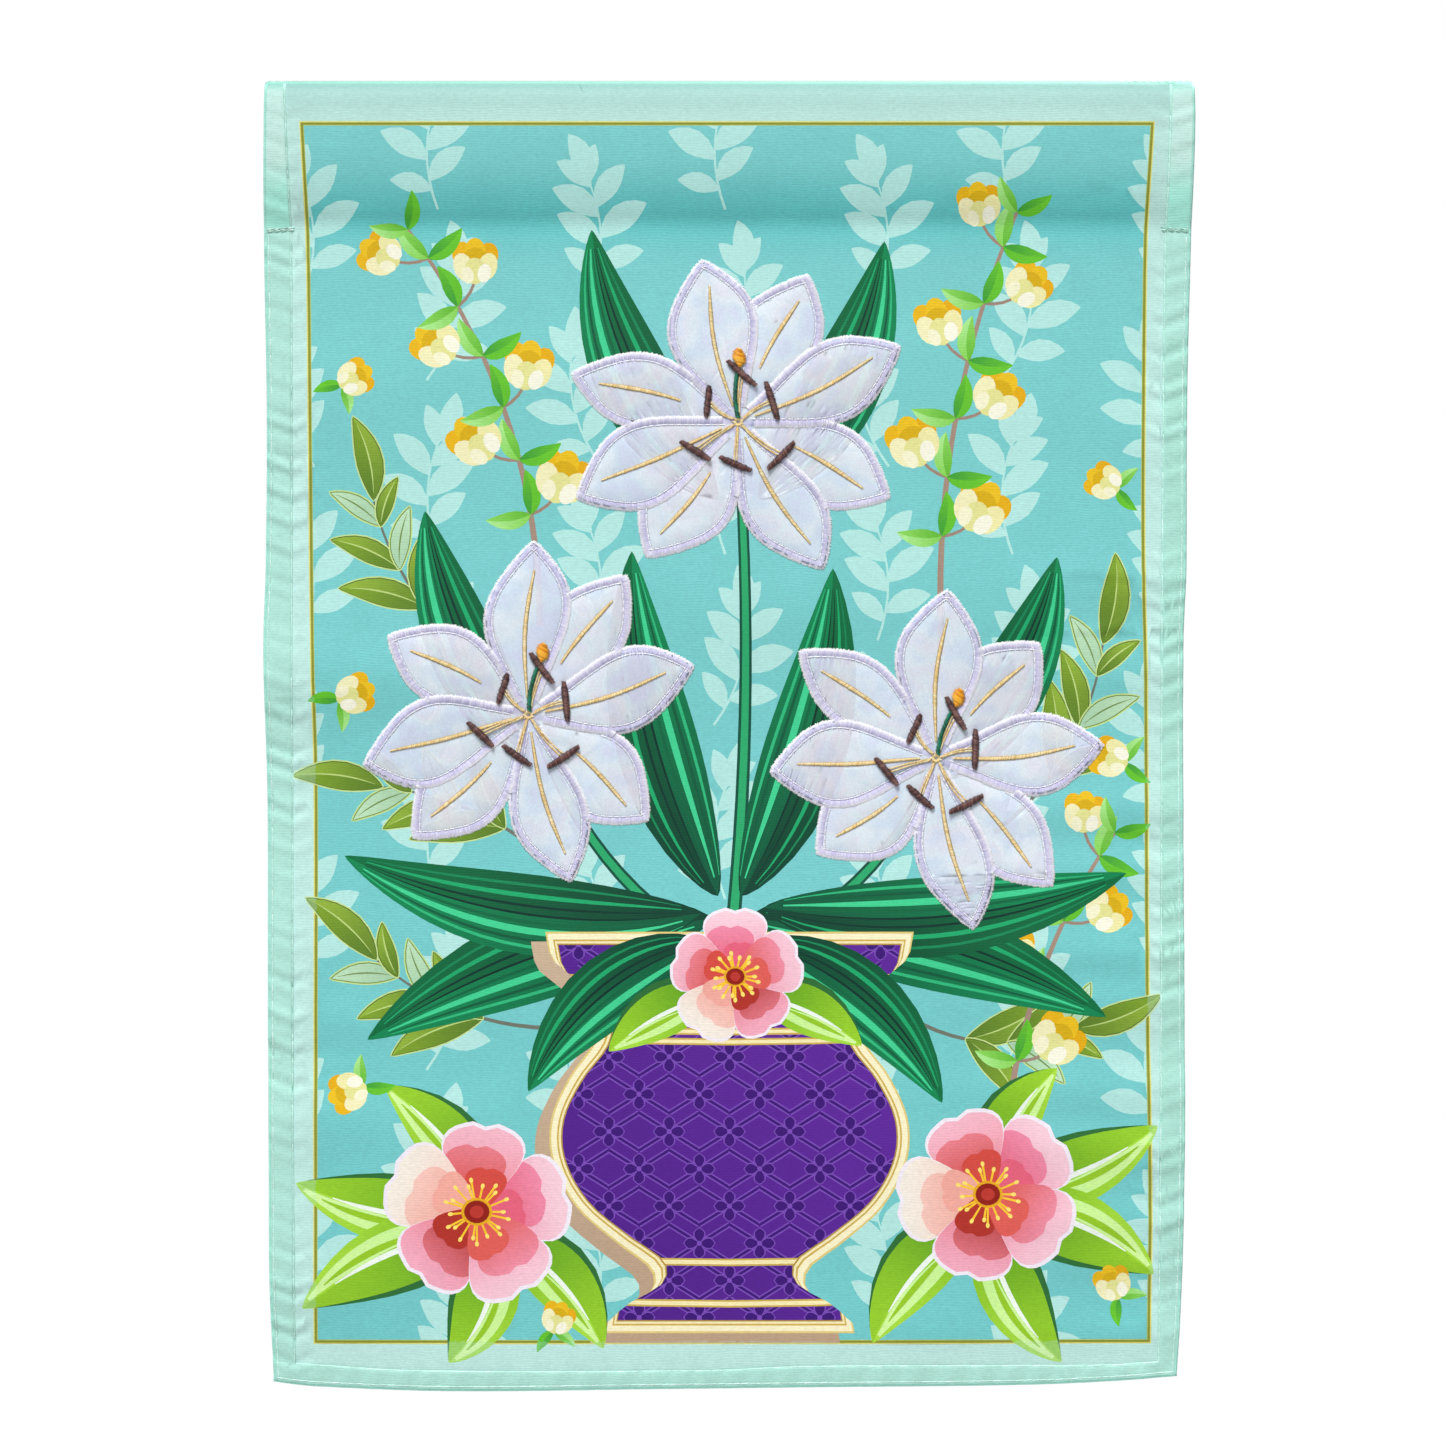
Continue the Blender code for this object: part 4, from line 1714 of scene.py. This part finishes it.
@dataclass(frozen=True)
class FlagHems:
    """The topstitched seams round the flag, the tacks at the sleeve's mouths and the top seam."""

    drape: Drape
    pitch: float = 2.75
    stitch_length: float = 2.85
    outer_inset: float = 1.75
    mark_reach: float = 3.0
    tack_width: float = 10.4
    flat: Rows = (
        (0, 0.8, 0), (0.12, 1, 0.6), (0.88, 1, 0.6), (1, 0.8, 0),
    )
    thread: Codes = ("DDF8EF", "D2F2E8", "E6FBF4", "CFF0E5")
    shade: Codes = ("93C7B7", "A0D1C2", "88BEAD")
    tack_thread: Codes = ("BFEBDD", "A9DCCB", "D2F3E8")

    def seams(self) -> list[Seam]:
        """The seam lines, inner ones first."""
        drape = self.drape
        down = np.linspace(1.6, 447.6, 160)
        lower = np.linspace(drape.tack_drop + 2.5, 452.0, 150)
        return [
            Seam(drape.side_seams.down(down, 1)),
            Seam(drape.side_seams.down(down, 2)),
            Seam(drape.bottom_seam.along(np.linspace(-151.6, 149.8, 110))),
            Seam(drape.sides.down(lower, 1, self.outer_inset)),
            Seam(drape.sides.down(lower, 2, -self.outer_inset)),
            Seam(drape.bottom.along(np.linspace(-158.0, 155.0, 110), self.outer_inset)),
        ]

    def mark(self, page: Print) -> None:
        """Print a deeper green edge strip, painted highlight on the side rims, and painted shade at
        the top fold and in the seam dents.

        Args:
            page: The layer's print.
        """
        across = np.linspace(-170.0, 170.0, 100)
        deep, beyond = "98DAC8", self.mark_reach
        wide = 2 * (beyond + self.outer_inset) - 1.4
        for side, shift, rim in ((1, -beyond, 7.0), (2, beyond, 7.7)):
            edge = self.drape.sides.down(np.linspace(-1.0, 460.0, 120), side, shift)
            page.band(edge, wide, deep)
            # Painted highlight: a pale band on the very rim of each side edge.
            page.band(edge, rim, "B6F8E7")
        page.band(self.drape.bottom.along(across, -beyond), wide, deep)
        # Painted shade: darker lines along the top fold.
        for z, thin, code in ((0.6, 1.7, "759F94"), (-0.6, 0.7, "87B8AC"), (-1.15, 0.5, "7ABFAB")):
            page.band(np.stack([across, np.full(len(across), z)], axis=1), thin, code)
        # Painted shade: a darker line along the dent of each seam.
        for seam in self.seams():
            page.band(seam.even(90), 0.95, "A2D9CA")

    def topstitch(self, layer: Layer, seed: int) -> Piece:
        """Sew every seam on one layer.

        Args:
            layer: The layer whose side is sewn.
            seed: Starts the row of random numbers.

        Returns:
            The stitches.
        """
        yarn = Yarn("hem_stitching_" + layer.name.lower(), np.random.default_rng(seed))
        for seam in self.seams():
            middle, along, left = seam.walk(self.pitch)
            half = along * (self.stitch_length / 2)
            half = half * yarn.chance.uniform(0.92, 1.06, (len(middle), 1)) + left * 0.06
            yarn.sew(self.drape.place(layer, middle - half, -0.04),
                     self.drape.place(layer, middle + half, -0.04),
                     Stitch(0.17, 0.1, self.flat), self.thread, 0.06, layer)
        return yarn.piece()

    def tacks(self) -> Piece:
        """Sew the dense slanted bars that close the sleeve's mouths, on both layers."""
        yarn = Yarn("sleeve_tacks", np.random.default_rng(9))
        drop = self.drape.tack_drop
        left, right = self.drape.span(np.array(drop))
        for layer in Layer:
            for outer, inner in ((left + 0.9, left + 0.9 + self.tack_width),
                                 (right - 0.9, right - 0.9 - self.tack_width)):
                # Rows of pale tack thread alternate with thin darker stitches in the shade tones,
                # which are painted shade under the tack's bars.
                for row, low, high, codes, thick in (
                    (0, -0.95, -0.35, self.shade, 0.1), (1, -0.65, 0.05, self.tack_thread, 0.17),
                    (0, 0.0, 0.5, self.shade, 0.09), (1, 0.15, 0.85, self.tack_thread, 0.17),
                    (0, -0.2, 0.4, self.tack_thread, 0.15),
                ):
                    share = (np.arange(4) + 0.5 + 0.18 * row) / 4.36
                    x = outer + (inner - outer) * share
                    middle = np.stack([x, -drop + low + (high - low) * share], axis=1)
                    half = np.array([0.45 * (inner - outer) / 4, 0.16])
                    yarn.sew(self.drape.place(layer, middle - half, 0.02),
                             self.drape.place(layer, middle + half, 0.02),
                             Stitch(thick, 0.12 + thick), codes, 0.1, layer)
        return yarn.piece()

    def top_seam(self) -> Piece:
        """Sew the short stitches that show along the top edge."""
        yarn = Yarn("top_seam_stitching", np.random.default_rng(10))
        x = np.concatenate([np.arange(-159.0, -147.0, 3.1), np.arange(136.5, 160.5, 2.6)])
        middle = np.stack([x, np.full(len(x), -0.55)], axis=1)
        for layer in Layer:
            yarn.sew(self.drape.place(layer, middle - [0.8, 0.0], 0.02),
                     self.drape.place(layer, middle + [0.8, 0.0], 0.02),
                     Stitch(0.17, 0.12), self.tack_thread, 0.1, layer)
        return yarn.piece()


@dataclass(frozen=True)
class Petal:
    """One petal of a satin flower."""

    centre: Place
    radius: float
    direction: float
    squeeze: float
    lean: float
    in_front: bool
    bend: float
    plump: float
    half: Curve = Curve((
        (0.02, 0.03), (0.20, 0.105), (0.38, 0.185), (0.52, 0.228), (0.64, 0.232), (0.75, 0.20),
        (0.85, 0.138), (0.92, 0.082), (0.97, 0.036), (1, 0),
    ))

    def out(self, along: Array, part: Array) -> Array:
        """Places on the flat cloth.

        Args:
            along: Share of the petal's length.
            part: Distance to the left of its middle, as a share of its length.

        Returns:
            The places.
        """
        aside = np.asarray(part) * self.plump + self.bend * np.asarray(along) ** 2
        local = np.stack(np.broadcast_arrays(along, aside), axis=-1) * self.radius
        local = turned(turned(local, self.direction), -self.lean) * [1.0, self.squeeze]
        return turned(local, self.lean) + np.array(self.centre)

    def back(self, flat: Array) -> Array:
        """Find where on the petal places lie.

        Args:
            flat: Places on the flat cloth.

        Returns:
            Each one's share of the length, and its distance to the left as such a share.
        """
        local = turned(np.asarray(flat) - np.array(self.centre), -self.lean) / [1.0, self.squeeze]
        local = turned(turned(local, self.lean), -self.direction) / self.radius
        local[:, 1] = (local[:, 1] - self.bend * local[:, 0] ** 2) / self.plump
        return local

    def outline(self) -> Array:
        """The petal's outline, anticlockwise from its root."""
        along = 0.02 + 0.98 * np.sin(np.linspace(0.0, math.pi / 2, 46)) ** 0.9
        half = self.half.at(along)
        right = self.out(along, -half)
        left = self.out(along[:-1], half[:-1])[::-1]
        return np.concatenate([right, left])

    def within(self, flat: Array) -> Array:
        """Distance inside the petal's edge, negative outside.

        Args:
            flat: Places on the flat cloth.

        Returns:
            The distance of each.
        """
        local = self.back(flat)
        inside = ((np.abs(local[:, 1]) < self.half.at(local[:, 0])) & (local[:, 0] > 0.02)
                  & (local[:, 0] < 1.0))
        nearest = np.full(len(flat), np.inf)
        for place in Seam(self.outline()).even(170):
            nearest = np.minimum(nearest, np.hypot(*(flat - place).T))
        return np.where(inside, nearest, -nearest)


@dataclass(frozen=True)
class SatinFlower:
    """An eight-petalled satin flower, sewn on with a dense edge, gold veins and a worked middle."""

    name: str
    centre: Place
    radius: float
    turn: float
    squeeze: float
    lean: float
    drape: Drape
    reaches: Row = (1.0, 0.95, 0.98, 0.97, 1.0, 0.94, 0.99, 0.96)
    sways: Row = (0.0, 3.0, -3.0, 2.0, 2.0, -3.0, 2.0, -2.0)
    bends: Row = (0.09, -0.05, -0.1, 0.08, 0.06, -0.09, 0.1, -0.04)
    plumps: Row = (0.98, 1.06, 1.08, 0.96, 1.04, 1.1, 0.94, 1.06)
    cloth_lift: float = 0.34
    puff: float = 0.5
    overlap: float = 0.34
    # Width of the pale violet band of painted shade inside each petal's edge; the edge's dip and
    # inner lines are placed by it too.
    strip: float = 1.9
    see_through: float = 0.16
    white: Codes = ("F8F7FC", "FFFFFF", "F4F3FA", "FBFAFE")
    # Painted shade: the edge stitches turn to these tones at their inner ends.
    lavender_shade: Codes = ("D6D2EC", "CCC8E6", "E0DDF1", "C5C1E2")
    # Painted shade of the needle holes: small dark stitches in a dotted line.
    needle_hole_shade: Codes = ("7E7B98", "9390AC")
    # Pale golds: the thread's gold, lightened as painted highlight in the middle of the vein and
    # filament stitches; the darker golds below are painted shade at their ends.
    gold: Codes = ("ECD196", "F3DFAC", "F6E8BE", "E6C77E")
    gold_shade: Codes = ("B98F46", "A57C36", "C9A154")
    brown: Codes = ("5C3A38", "704C48", "4A2C2C", "866058")
    # Painted shade at the ends of the brown stitches.
    brown_shade: Codes = ("3C2426", "301A1C", "4A2E2E")
    orange: Codes = ("F2A71B", "E08E12", "F7BE3C")
    green: Codes = ("0B6B50", "0E8262", "095542")

    def petals(self) -> list[Petal]:
        """The petals in turn; every second one lies in front."""
        count = len(self.reaches)
        return [
            Petal(self.centre, self.radius * reach, self.turn + 360.0 * index / count + sway,
                  self.squeeze, self.lean, index % 2 == 0, bend, plump)
            for index, (reach, sway, bend, plump) in enumerate(
                zip(self.reaches, self.sways, self.bends, self.plumps))
        ]

    def depths(self, flat: Array) -> Array:
        """Distance inside each petal's edge, a row for each petal."""
        return np.stack([petal.within(flat) for petal in self.petals()])

    def surface(self, flat: Array) -> tuple[Array, Array]:
        """The satin's height over the cloth.

        Args:
            flat: Places on the flat cloth.

        Returns:
            The height, 0 outside the flower, and the distance inside the petal that shows.
        """
        depths = self.depths(flat)
        front = np.array([petal.in_front for petal in self.petals()])
        upper, lower = depths[front].max(axis=0), depths[~front].max(axis=0)
        on_top = upper > -1e-3
        shown = np.where(on_top, upper, lower)
        x, z = (flat - np.array(self.centre)).T
        billow = 0.09 * np.sin(x / 2.9 + 1.7 * np.sin(z / 5.3)) * np.sin(z / 3.7 + x / 7.1)
        height = (self.cloth_lift + self.puff * ease(0.6, 6.5, shown)
                  + billow * ease(1.5, 5.0, shown) - 0.1 * bell(shown - self.strip - 0.2, 0.5)
                  + self.overlap * on_top)
        vein = np.zeros(len(flat))
        for index, petal in enumerate(self.petals()):
            local = petal.back(flat)
            middle = bell(local[:, 1] * petal.radius - self.vein_bend(index, local[:, 0]), 0.9)
            vein = np.maximum(vein, middle * ease(0.22, 0.32, local[:, 0])
                              * ease(0.9, 0.82, local[:, 0]) * (depths[index] > 0))
        return np.where(shown > -1e-3, height - 0.22 * vein, 0.0), shown

    def vein_bend(self, index: int, along: Array) -> Array:
        """How far a petal's vein strays to the left at a share of its length."""
        hand = 1.0 if index % 3 else -1.0
        return hand * 2.2 * np.sin(1.6 * math.pi * np.clip(along, 0.0, 1.0)) * (along - 0.1)

    def even_grid(self, pitch: float) -> Array:
        """Even places over the flower, from its middle."""
        return coarse_grid((-self.radius, -self.radius), (self.radius, self.radius), pitch)

    def places(self) -> Array:
        """Places that get a corner: even ones, and rows beside each petal's edge."""
        grid = self.even_grid(1.7)
        grid[:, 0] += 0.85 * (np.round(grid[:, 1] / 1.7) % 2)
        parts = [grid + np.array(self.centre)]
        for petal in self.petals():
            middle, _, left = Seam(petal.outline()).walk(1.5, 1.0)
            for inset in (0.7, 1.75, 2.4, 3.6):
                parts.append(middle + left * inset)
        flat = np.concatenate(parts)
        depth = self.depths(flat)
        near_edge = (np.abs(depth) < 0.5).any(axis=0)
        return flat[(depth.max(axis=0) > 0.5) & ~near_edge]

    def colours(self, cut: Cut, page: Print, shown: Array) -> Array:
        """Mix the satin's tint, the print under it and a band of painted shade inside the edge.

        Args:
            cut: The cut satin.
            page: The print under it.
            shown: Distance of each place inside the petal that shows.

        Returns:
            A colour for each corner.
        """
        under = page.colours(cut.flat[cut.triangles], cut.printed).reshape(-1, 3)
        tint = np.tile(np.array(dye("E6E9F3")), (len(under), 1))
        mixed = tint * (1 - self.see_through) + under * self.see_through
        # Painted shade: a pale violet band just inside each petal's edge, the shaded inner side of
        # the raised edge.
        strip = (1 - ease(self.strip - 0.2, self.strip + 0.2, shown[cut.triangles.ravel()]))
        strip = 0.62 * strip[:, None]
        return mixed * (1 - strip) + np.array(dye("BDB9E0")) * strip

    def satin(self, page: Print, finish: bpy.types.Material) -> bpy.types.Object:
        """Make the satin.

        Args:
            page: The print that shows through it.
            finish: Its material.

        Returns:
            The sheet.
        """
        page = page.near(self.centre, self.radius + 2.0)
        outlines = [petal.outline() for petal in self.petals()]
        cut = Cut.make(outlines, page, self.places(), 0.01)
        grid = self.even_grid(6.0) + np.array(self.centre)
        sheet = Sheet.make(cut, grid[self.depths(grid).max(axis=0) > 1.5])
        height, shown = self.surface(cut.flat)
        points = np.concatenate([
            self.drape.place(Layer.FRONT, cut.flat, np.maximum(height, self.cloth_lift)),
            self.drape.place(Layer.FRONT, sheet.own, 0.04),
        ])
        chart = ((sheet.flat() - np.array(self.centre)) / self.radius + 1.05) / 2.1
        piece = sheet.piece("satin_" + self.name, points, self.colours(cut, page, shown),
                            dye("ECECF6"), chart)
        made = piece.make("applique_satin", finish, self.name)
        return made

    def visible(self, index: int, depths: Array, flat: Array, most: float) -> Array:
        """Find the places on a petal that the petals over it leave to see.

        Args:
            index: The petal's number.
            depths: The places' distance inside each petal's edge.
            flat: The places on the flat cloth.
            most: The greatest distance inside a petal that lies over them.

        Returns:
            Whether each place shows.
        """
        covers = [number for number, petal in enumerate(self.petals())
                  if petal.in_front and number != index]
        away = np.hypot(*(flat - np.array(self.centre)).T) > 0.09 * self.radius
        return (depths[covers].max(axis=0) < most) & away

    def lifted(self, flat: Array, extra: float) -> Array:
        """Places in metres, a distance over the satin or the cloth."""
        height, _ = self.surface(flat)
        return self.drape.place(Layer.FRONT, flat, height + extra)

    def edging(self) -> Piece:
        """Sew the dense white edge, turning to painted shade at its inner side, a dotted line of
        dark stitches for the needle holes' painted shade, and the running line inside it.
        """
        yarn = Yarn("satin_edge_" + self.name, np.random.default_rng(21))
        edge = Stitch(0.15, 0.2, ((0.0, 0.5, -0.2), (0.14, 1.0, 0.8), (0.5, 1.0, 0.9),
                                  (0.9, 1, 0.5), (1, 0.5, -0.1)), (0, 0.1, 0.75, 1, 1))
        runs = ((1.0, 0.62, 0.5, -1.4, 0.2, 0.0, Stitch(0.1, 0.1), self.needle_hole_shade, 0.04),
                (2.5, 0.25, -0.2, -1.0, 1.22, 0.05, Stitch(0.17, 0.16), self.white, 0.03))
        for index, petal in sorted(enumerate(self.petals()), key=lambda pair: pair[1].in_front):
            seam = Seam(petal.outline())
            middle, along, left = seam.walk(0.27, 1.3)
            seen = self.visible(index, self.depths(middle), middle, 0.35)
            middle, along, left = middle[seen], along[seen], left[seen]
            slant = along * yarn.chance.uniform(0.0, 0.1, (len(middle), 1))
            outer = middle - left * yarn.chance.uniform(0.75, 1.2, (len(middle), 1)) - slant
            inner = middle + left * yarn.chance.uniform(1.65, 1.95, (len(middle), 1)) + slant
            # Each edge stitch runs from white at its outer end to the painted shade tones at its
            # inner end.
            yarn.sew(self.lifted(outer, 0.0), self.lifted(inner, 0.02), edge, self.white, 0.03,
                     ends=self.lavender_shade)
            for pitch, inset, least, most, reach, over, stitch, codes, spread in runs:
                middle, along, left = seam.walk(pitch, 1.3)
                middle = middle + left * (self.strip + inset)
                depths = self.depths(middle)
                seen = (self.visible(index, depths, middle, most)
                        & (depths[index] > self.strip + least))
                middle, half = middle[seen], along[seen] * reach
                yarn.sew(self.lifted(middle - half, over), self.lifted(middle + half, over),
                         stitch, codes, spread)
        return yarn.piece()

    def satin_line(self, yarn: Yarn, line: Array, width: Array, pitch: float, slant: float,
                   stitch: Stitch, codes: Codes, ends: Codes, over: float) -> None:
        """Sew slanted stitches side by side along a line.

        Args:
            yarn: Takes the stitches.
            line: The line on the flat cloth.
            width: The widths along it, evenly spread.
            pitch: Distance from stitch to stitch.
            slant: How far each stitch leans along the line.
            stitch: The form of a stitch.
            codes: The thread's colours.
            ends: Its colours at the stitches' ends.
            over: Height over the satin.
        """
        middle, along, left = Seam(line).walk(pitch, 0.6)
        share = np.linspace(0.0, 1.0, len(middle))
        half = np.interp(share, np.linspace(0.0, 1.0, len(width)), width)[:, None] / 2
        half = half * yarn.chance.uniform(0.84, 1.14, half.shape)
        reach = left * half + along * slant * half
        yarn.sew(self.lifted(middle - reach, over), self.lifted(middle + reach, over), stitch,
                 codes, 0.08, ends=ends)

    def veins(self) -> Piece:
        """Sew a gold vein along the middle of each petal that shows."""
        yarn = Yarn("gold_veins_" + self.name, np.random.default_rng(22))
        for index, petal in enumerate(self.petals()):
            along = np.linspace(0.1 if petal.in_front else 0.36, 0.84, 34)
            line = petal.out(along, self.vein_bend(index, along) / petal.radius)
            # Painted highlight in the pale gold middle of each stitch, painted shade in the darker
            # gold at its ends.
            self.satin_line(yarn, line, np.array([0.8, 1.3, 1.6, 1.6, 1.4, 0.7]), 0.28, 0.4,
                            Stitch(0.16, 0.26), self.gold, self.gold_shade, 0.1)
        return yarn.piece()

    def middle(self) -> Piece:
        """Sew the flower's middle: eye, threads, brown bars and the green and orange pistil."""
        chance = np.random.default_rng(23)
        yarn = Yarn("worked_middle_" + self.name, chance)
        spokes = 18
        angles = 360.0 * np.arange(spokes) / spokes
        ends = np.array([ahead(self.centre, angle, 1.7 + 0.6 * (number % 2))
                         for number, angle in enumerate(angles)])
        hearts = np.array([ahead(self.centre, angle, 0.5) for angle in angles])
        yarn.sew(self.lifted(hearts, 0.35), self.lifted(ends, 0.08), Stitch(0.24, 0.35),
                 self.gold, 0.08)
        for number in range(6):
            angle = self.turn + 60.0 * number + chance.uniform(-13.0, 13.0)
            reach = 12.5 + 4.4 * (number % 2) + chance.uniform(-1.2, 1.2)
            bend = chance.uniform(-0.8, 0.8)
            for aside in (-5.0, 5.0):
                stem = Spine(ahead(self.centre, angle + aside, 2.0),
                             ahead(self.centre, angle + 0.4 * aside, reach), bend)
                # Filaments: painted shade in the darker gold at each stitch's ends.
                self.satin_line(yarn, stem.way(12), np.array([0.7, 0.6]), 0.55, 1.5,
                                Stitch(0.2, 0.28), self.gold, self.gold_shade, 0.25)
            tip = ahead(self.centre, angle, reach + 1.0)
            lie = angle + 90.0 + chance.uniform(-45.0, 45.0)
            half = chance.uniform(5.2, 6.9)
            bar = Spine(ahead(tip, lie, -half), ahead(tip, lie, half), chance.uniform(-0.5, 0.5))
            # Bars: painted shade in the darker brown at each stitch's ends.
            self.satin_line(yarn, bar.way(12), np.array([1.6, 2.4, 2.6, 2.6, 2.4, 1.6]), 0.42, 0.35,
                            Stitch(0.25, 0.7), self.brown, self.brown_shade,
                            0.4 + 0.25 * (number % 2))
        angle = self.turn + 68.0
        style = Spine(ahead(self.centre, angle, 1.4), ahead(self.centre, angle, 20.0), 1.2)
        self.satin_line(yarn, style.way(14), np.array([1.7, 1.5, 1.4]), 0.5, 0.7,
                        Stitch(0.28, 0.5), self.green, self.green, 0.45)
        stigma = Spine(ahead(self.centre, angle, 19.0), ahead(self.centre, angle, 25.5), 0.0)
        self.satin_line(yarn, stigma.way(10), np.array([1.2, 3.6, 5.2, 4.4, 2.2]), 0.45, 0.3,
                        Stitch(0.28, 0.6), self.orange, self.orange, 0.5)
        return yarn.piece()


@dataclass(frozen=True)
class Studio:
    """The camera, a soft key, a fill, the white surround and a pale floor."""

    eye: Spot = (-0.00244, -2.0, -0.2236)
    seen_width: float = 0.5036
    film: float = 36.0
    flag_middle: Spot = (0.0, 0.0, -0.22)
    floor_z: float = -1.0
    floor_reach: float = 0.9
    surround: float = 0.22
    key_way: Spot = (0.28, 1.0, -1.55)
    key_strength: float = 3.45
    key_softness: float = 20.0

    def camera(self) -> None:
        """Set up the camera square to the flag, as the photograph was taken."""
        data = bpy.data.cameras.new("camera")
        data.sensor_width = self.film
        data.lens = self.film * -self.eye[1] / self.seen_width
        data.clip_start = 0.05
        camera = put("camera", data)
        camera.location = self.eye
        camera.rotation_euler = (math.pi / 2, 0.0, 0.0)
        bpy.context.scene.camera = camera

    def key(self) -> None:
        """Add the high, soft and distant key that shapes the waves of the cloth."""
        data = bpy.data.lights.new("key_light", "SUN")
        data.energy = self.key_strength
        data.angle = math.radians(self.key_softness)
        lamp = put("key_light", data)
        lamp.rotation_euler = Vector(self.key_way).to_track_quat("-Z", "Y").to_euler()

    def light(self, name: str, place: Spot, size: Place, watts: float) -> None:
        """Add a soft panel light that faces the flag's middle.

        Args:
            name: The light's name.
            place: Where it stands, in metres.
            size: Its width and height.
            watts: Its power.
        """
        data = bpy.data.lights.new(name, "AREA")
        data.shape = "RECTANGLE"
        data.size, data.size_y = size
        data.energy = watts
        lamp = put(name, data)
        lamp.location = place
        to_flag = Vector(self.flag_middle) - Vector(place)
        lamp.rotation_euler = to_flag.to_track_quat("-Z", "Y").to_euler()
        lamp.visible_camera = False

    def world(self) -> None:
        """Make the surround: white to look at, softer as light."""
        world = bpy.data.worlds.new("surround")
        world.use_nodes = True
        nodes = Nodes(world.node_tree, world.node_tree.nodes["Background"])
        seen = nodes.add("LightPath", {}).outputs["Is Camera Ray"]
        strength = nodes.add("MapRange", {"Value": seen, "To Min": self.surround, "To Max": 1.0})
        nodes.tree.links.new(strength.outputs[0], nodes.shader.inputs["Strength"])
        nodes.shader.inputs["Color"].default_value = (1.0, 1.0, 1.0, 1.0)
        bpy.context.scene.world = world

    def floor(self) -> None:
        """Lay the floor below the picture."""
        mesh = bpy.data.meshes.new("studio_floor")
        corners = [(x * self.floor_reach, y * self.floor_reach, self.floor_z)
                   for x, y in ((-1, -1), (1, -1), (1, 1), (-1, 1))]
        mesh.from_pydata(corners, [], [(0, 1, 2, 3)])
        mesh.materials.append(FloorFinish("pale_floor").material())
        put("studio_floor", mesh)

    def build(self) -> None:
        """Set up the lights, the surround and the floor."""
        self.key()
        self.light("fill_panel", (-0.05, -1.0, 0.25), (0.8, 0.5), 2.2)
        self.light("back_panel_light", (0.5, 0.75, 0.95), (0.6, 0.5), 17.0)
        self.world()
        self.floor()
        bpy.context.scene.view_settings.view_transform = "Standard"


def main() -> None:
    """Build the flag piece by piece and light it."""
    logging.basicConfig(level=logging.INFO, format="%(name)s %(message)s")
    studio = Studio()
    studio.camera()
    drape = Drape()
    hems = FlagHems(drape)
    design = FlagPrint(drape)
    front_print, back_print = design.front(), design.ground()
    for page in (front_print, back_print):
        hems.mark(page)
    FlagCloth(Layer.FRONT, drape, front_print).build("front_panel", "rod_sleeve")
    FlagCloth(Layer.BACK, drape, back_print, merge=0.035).build("back_panel")
    hem_thread = ThreadFinish("mint_thread").material()
    for piece in (hems.topstitch(Layer.FRONT, 7), hems.topstitch(Layer.BACK, 8), hems.tacks(),
                  hems.top_seam()):
        piece.make("sewing_thread", hem_thread)
    satin = SatinFinish("white_satin").material()
    thread = ThreadFinish("embroidery_thread").material()
    for flower in (
        SatinFlower("flower_left", (-70.0, -221.0), 62.0, 9.0, 0.92, 62.0, drape),
        SatinFlower("flower_top", (3.0, -119.0), 62.0, 21.0, 0.94, 5.0, drape),
        SatinFlower("flower_right", (72.0, -236.0), 62.0, 2.0, 0.9, 128.0, drape),
    ):
        flower.satin(front_print, satin)
        for piece in (flower.edging(), flower.veins(), flower.middle()):
            piece.make("sewing_thread", thread)
    studio.build()


if __name__ == "__main__":
    main()
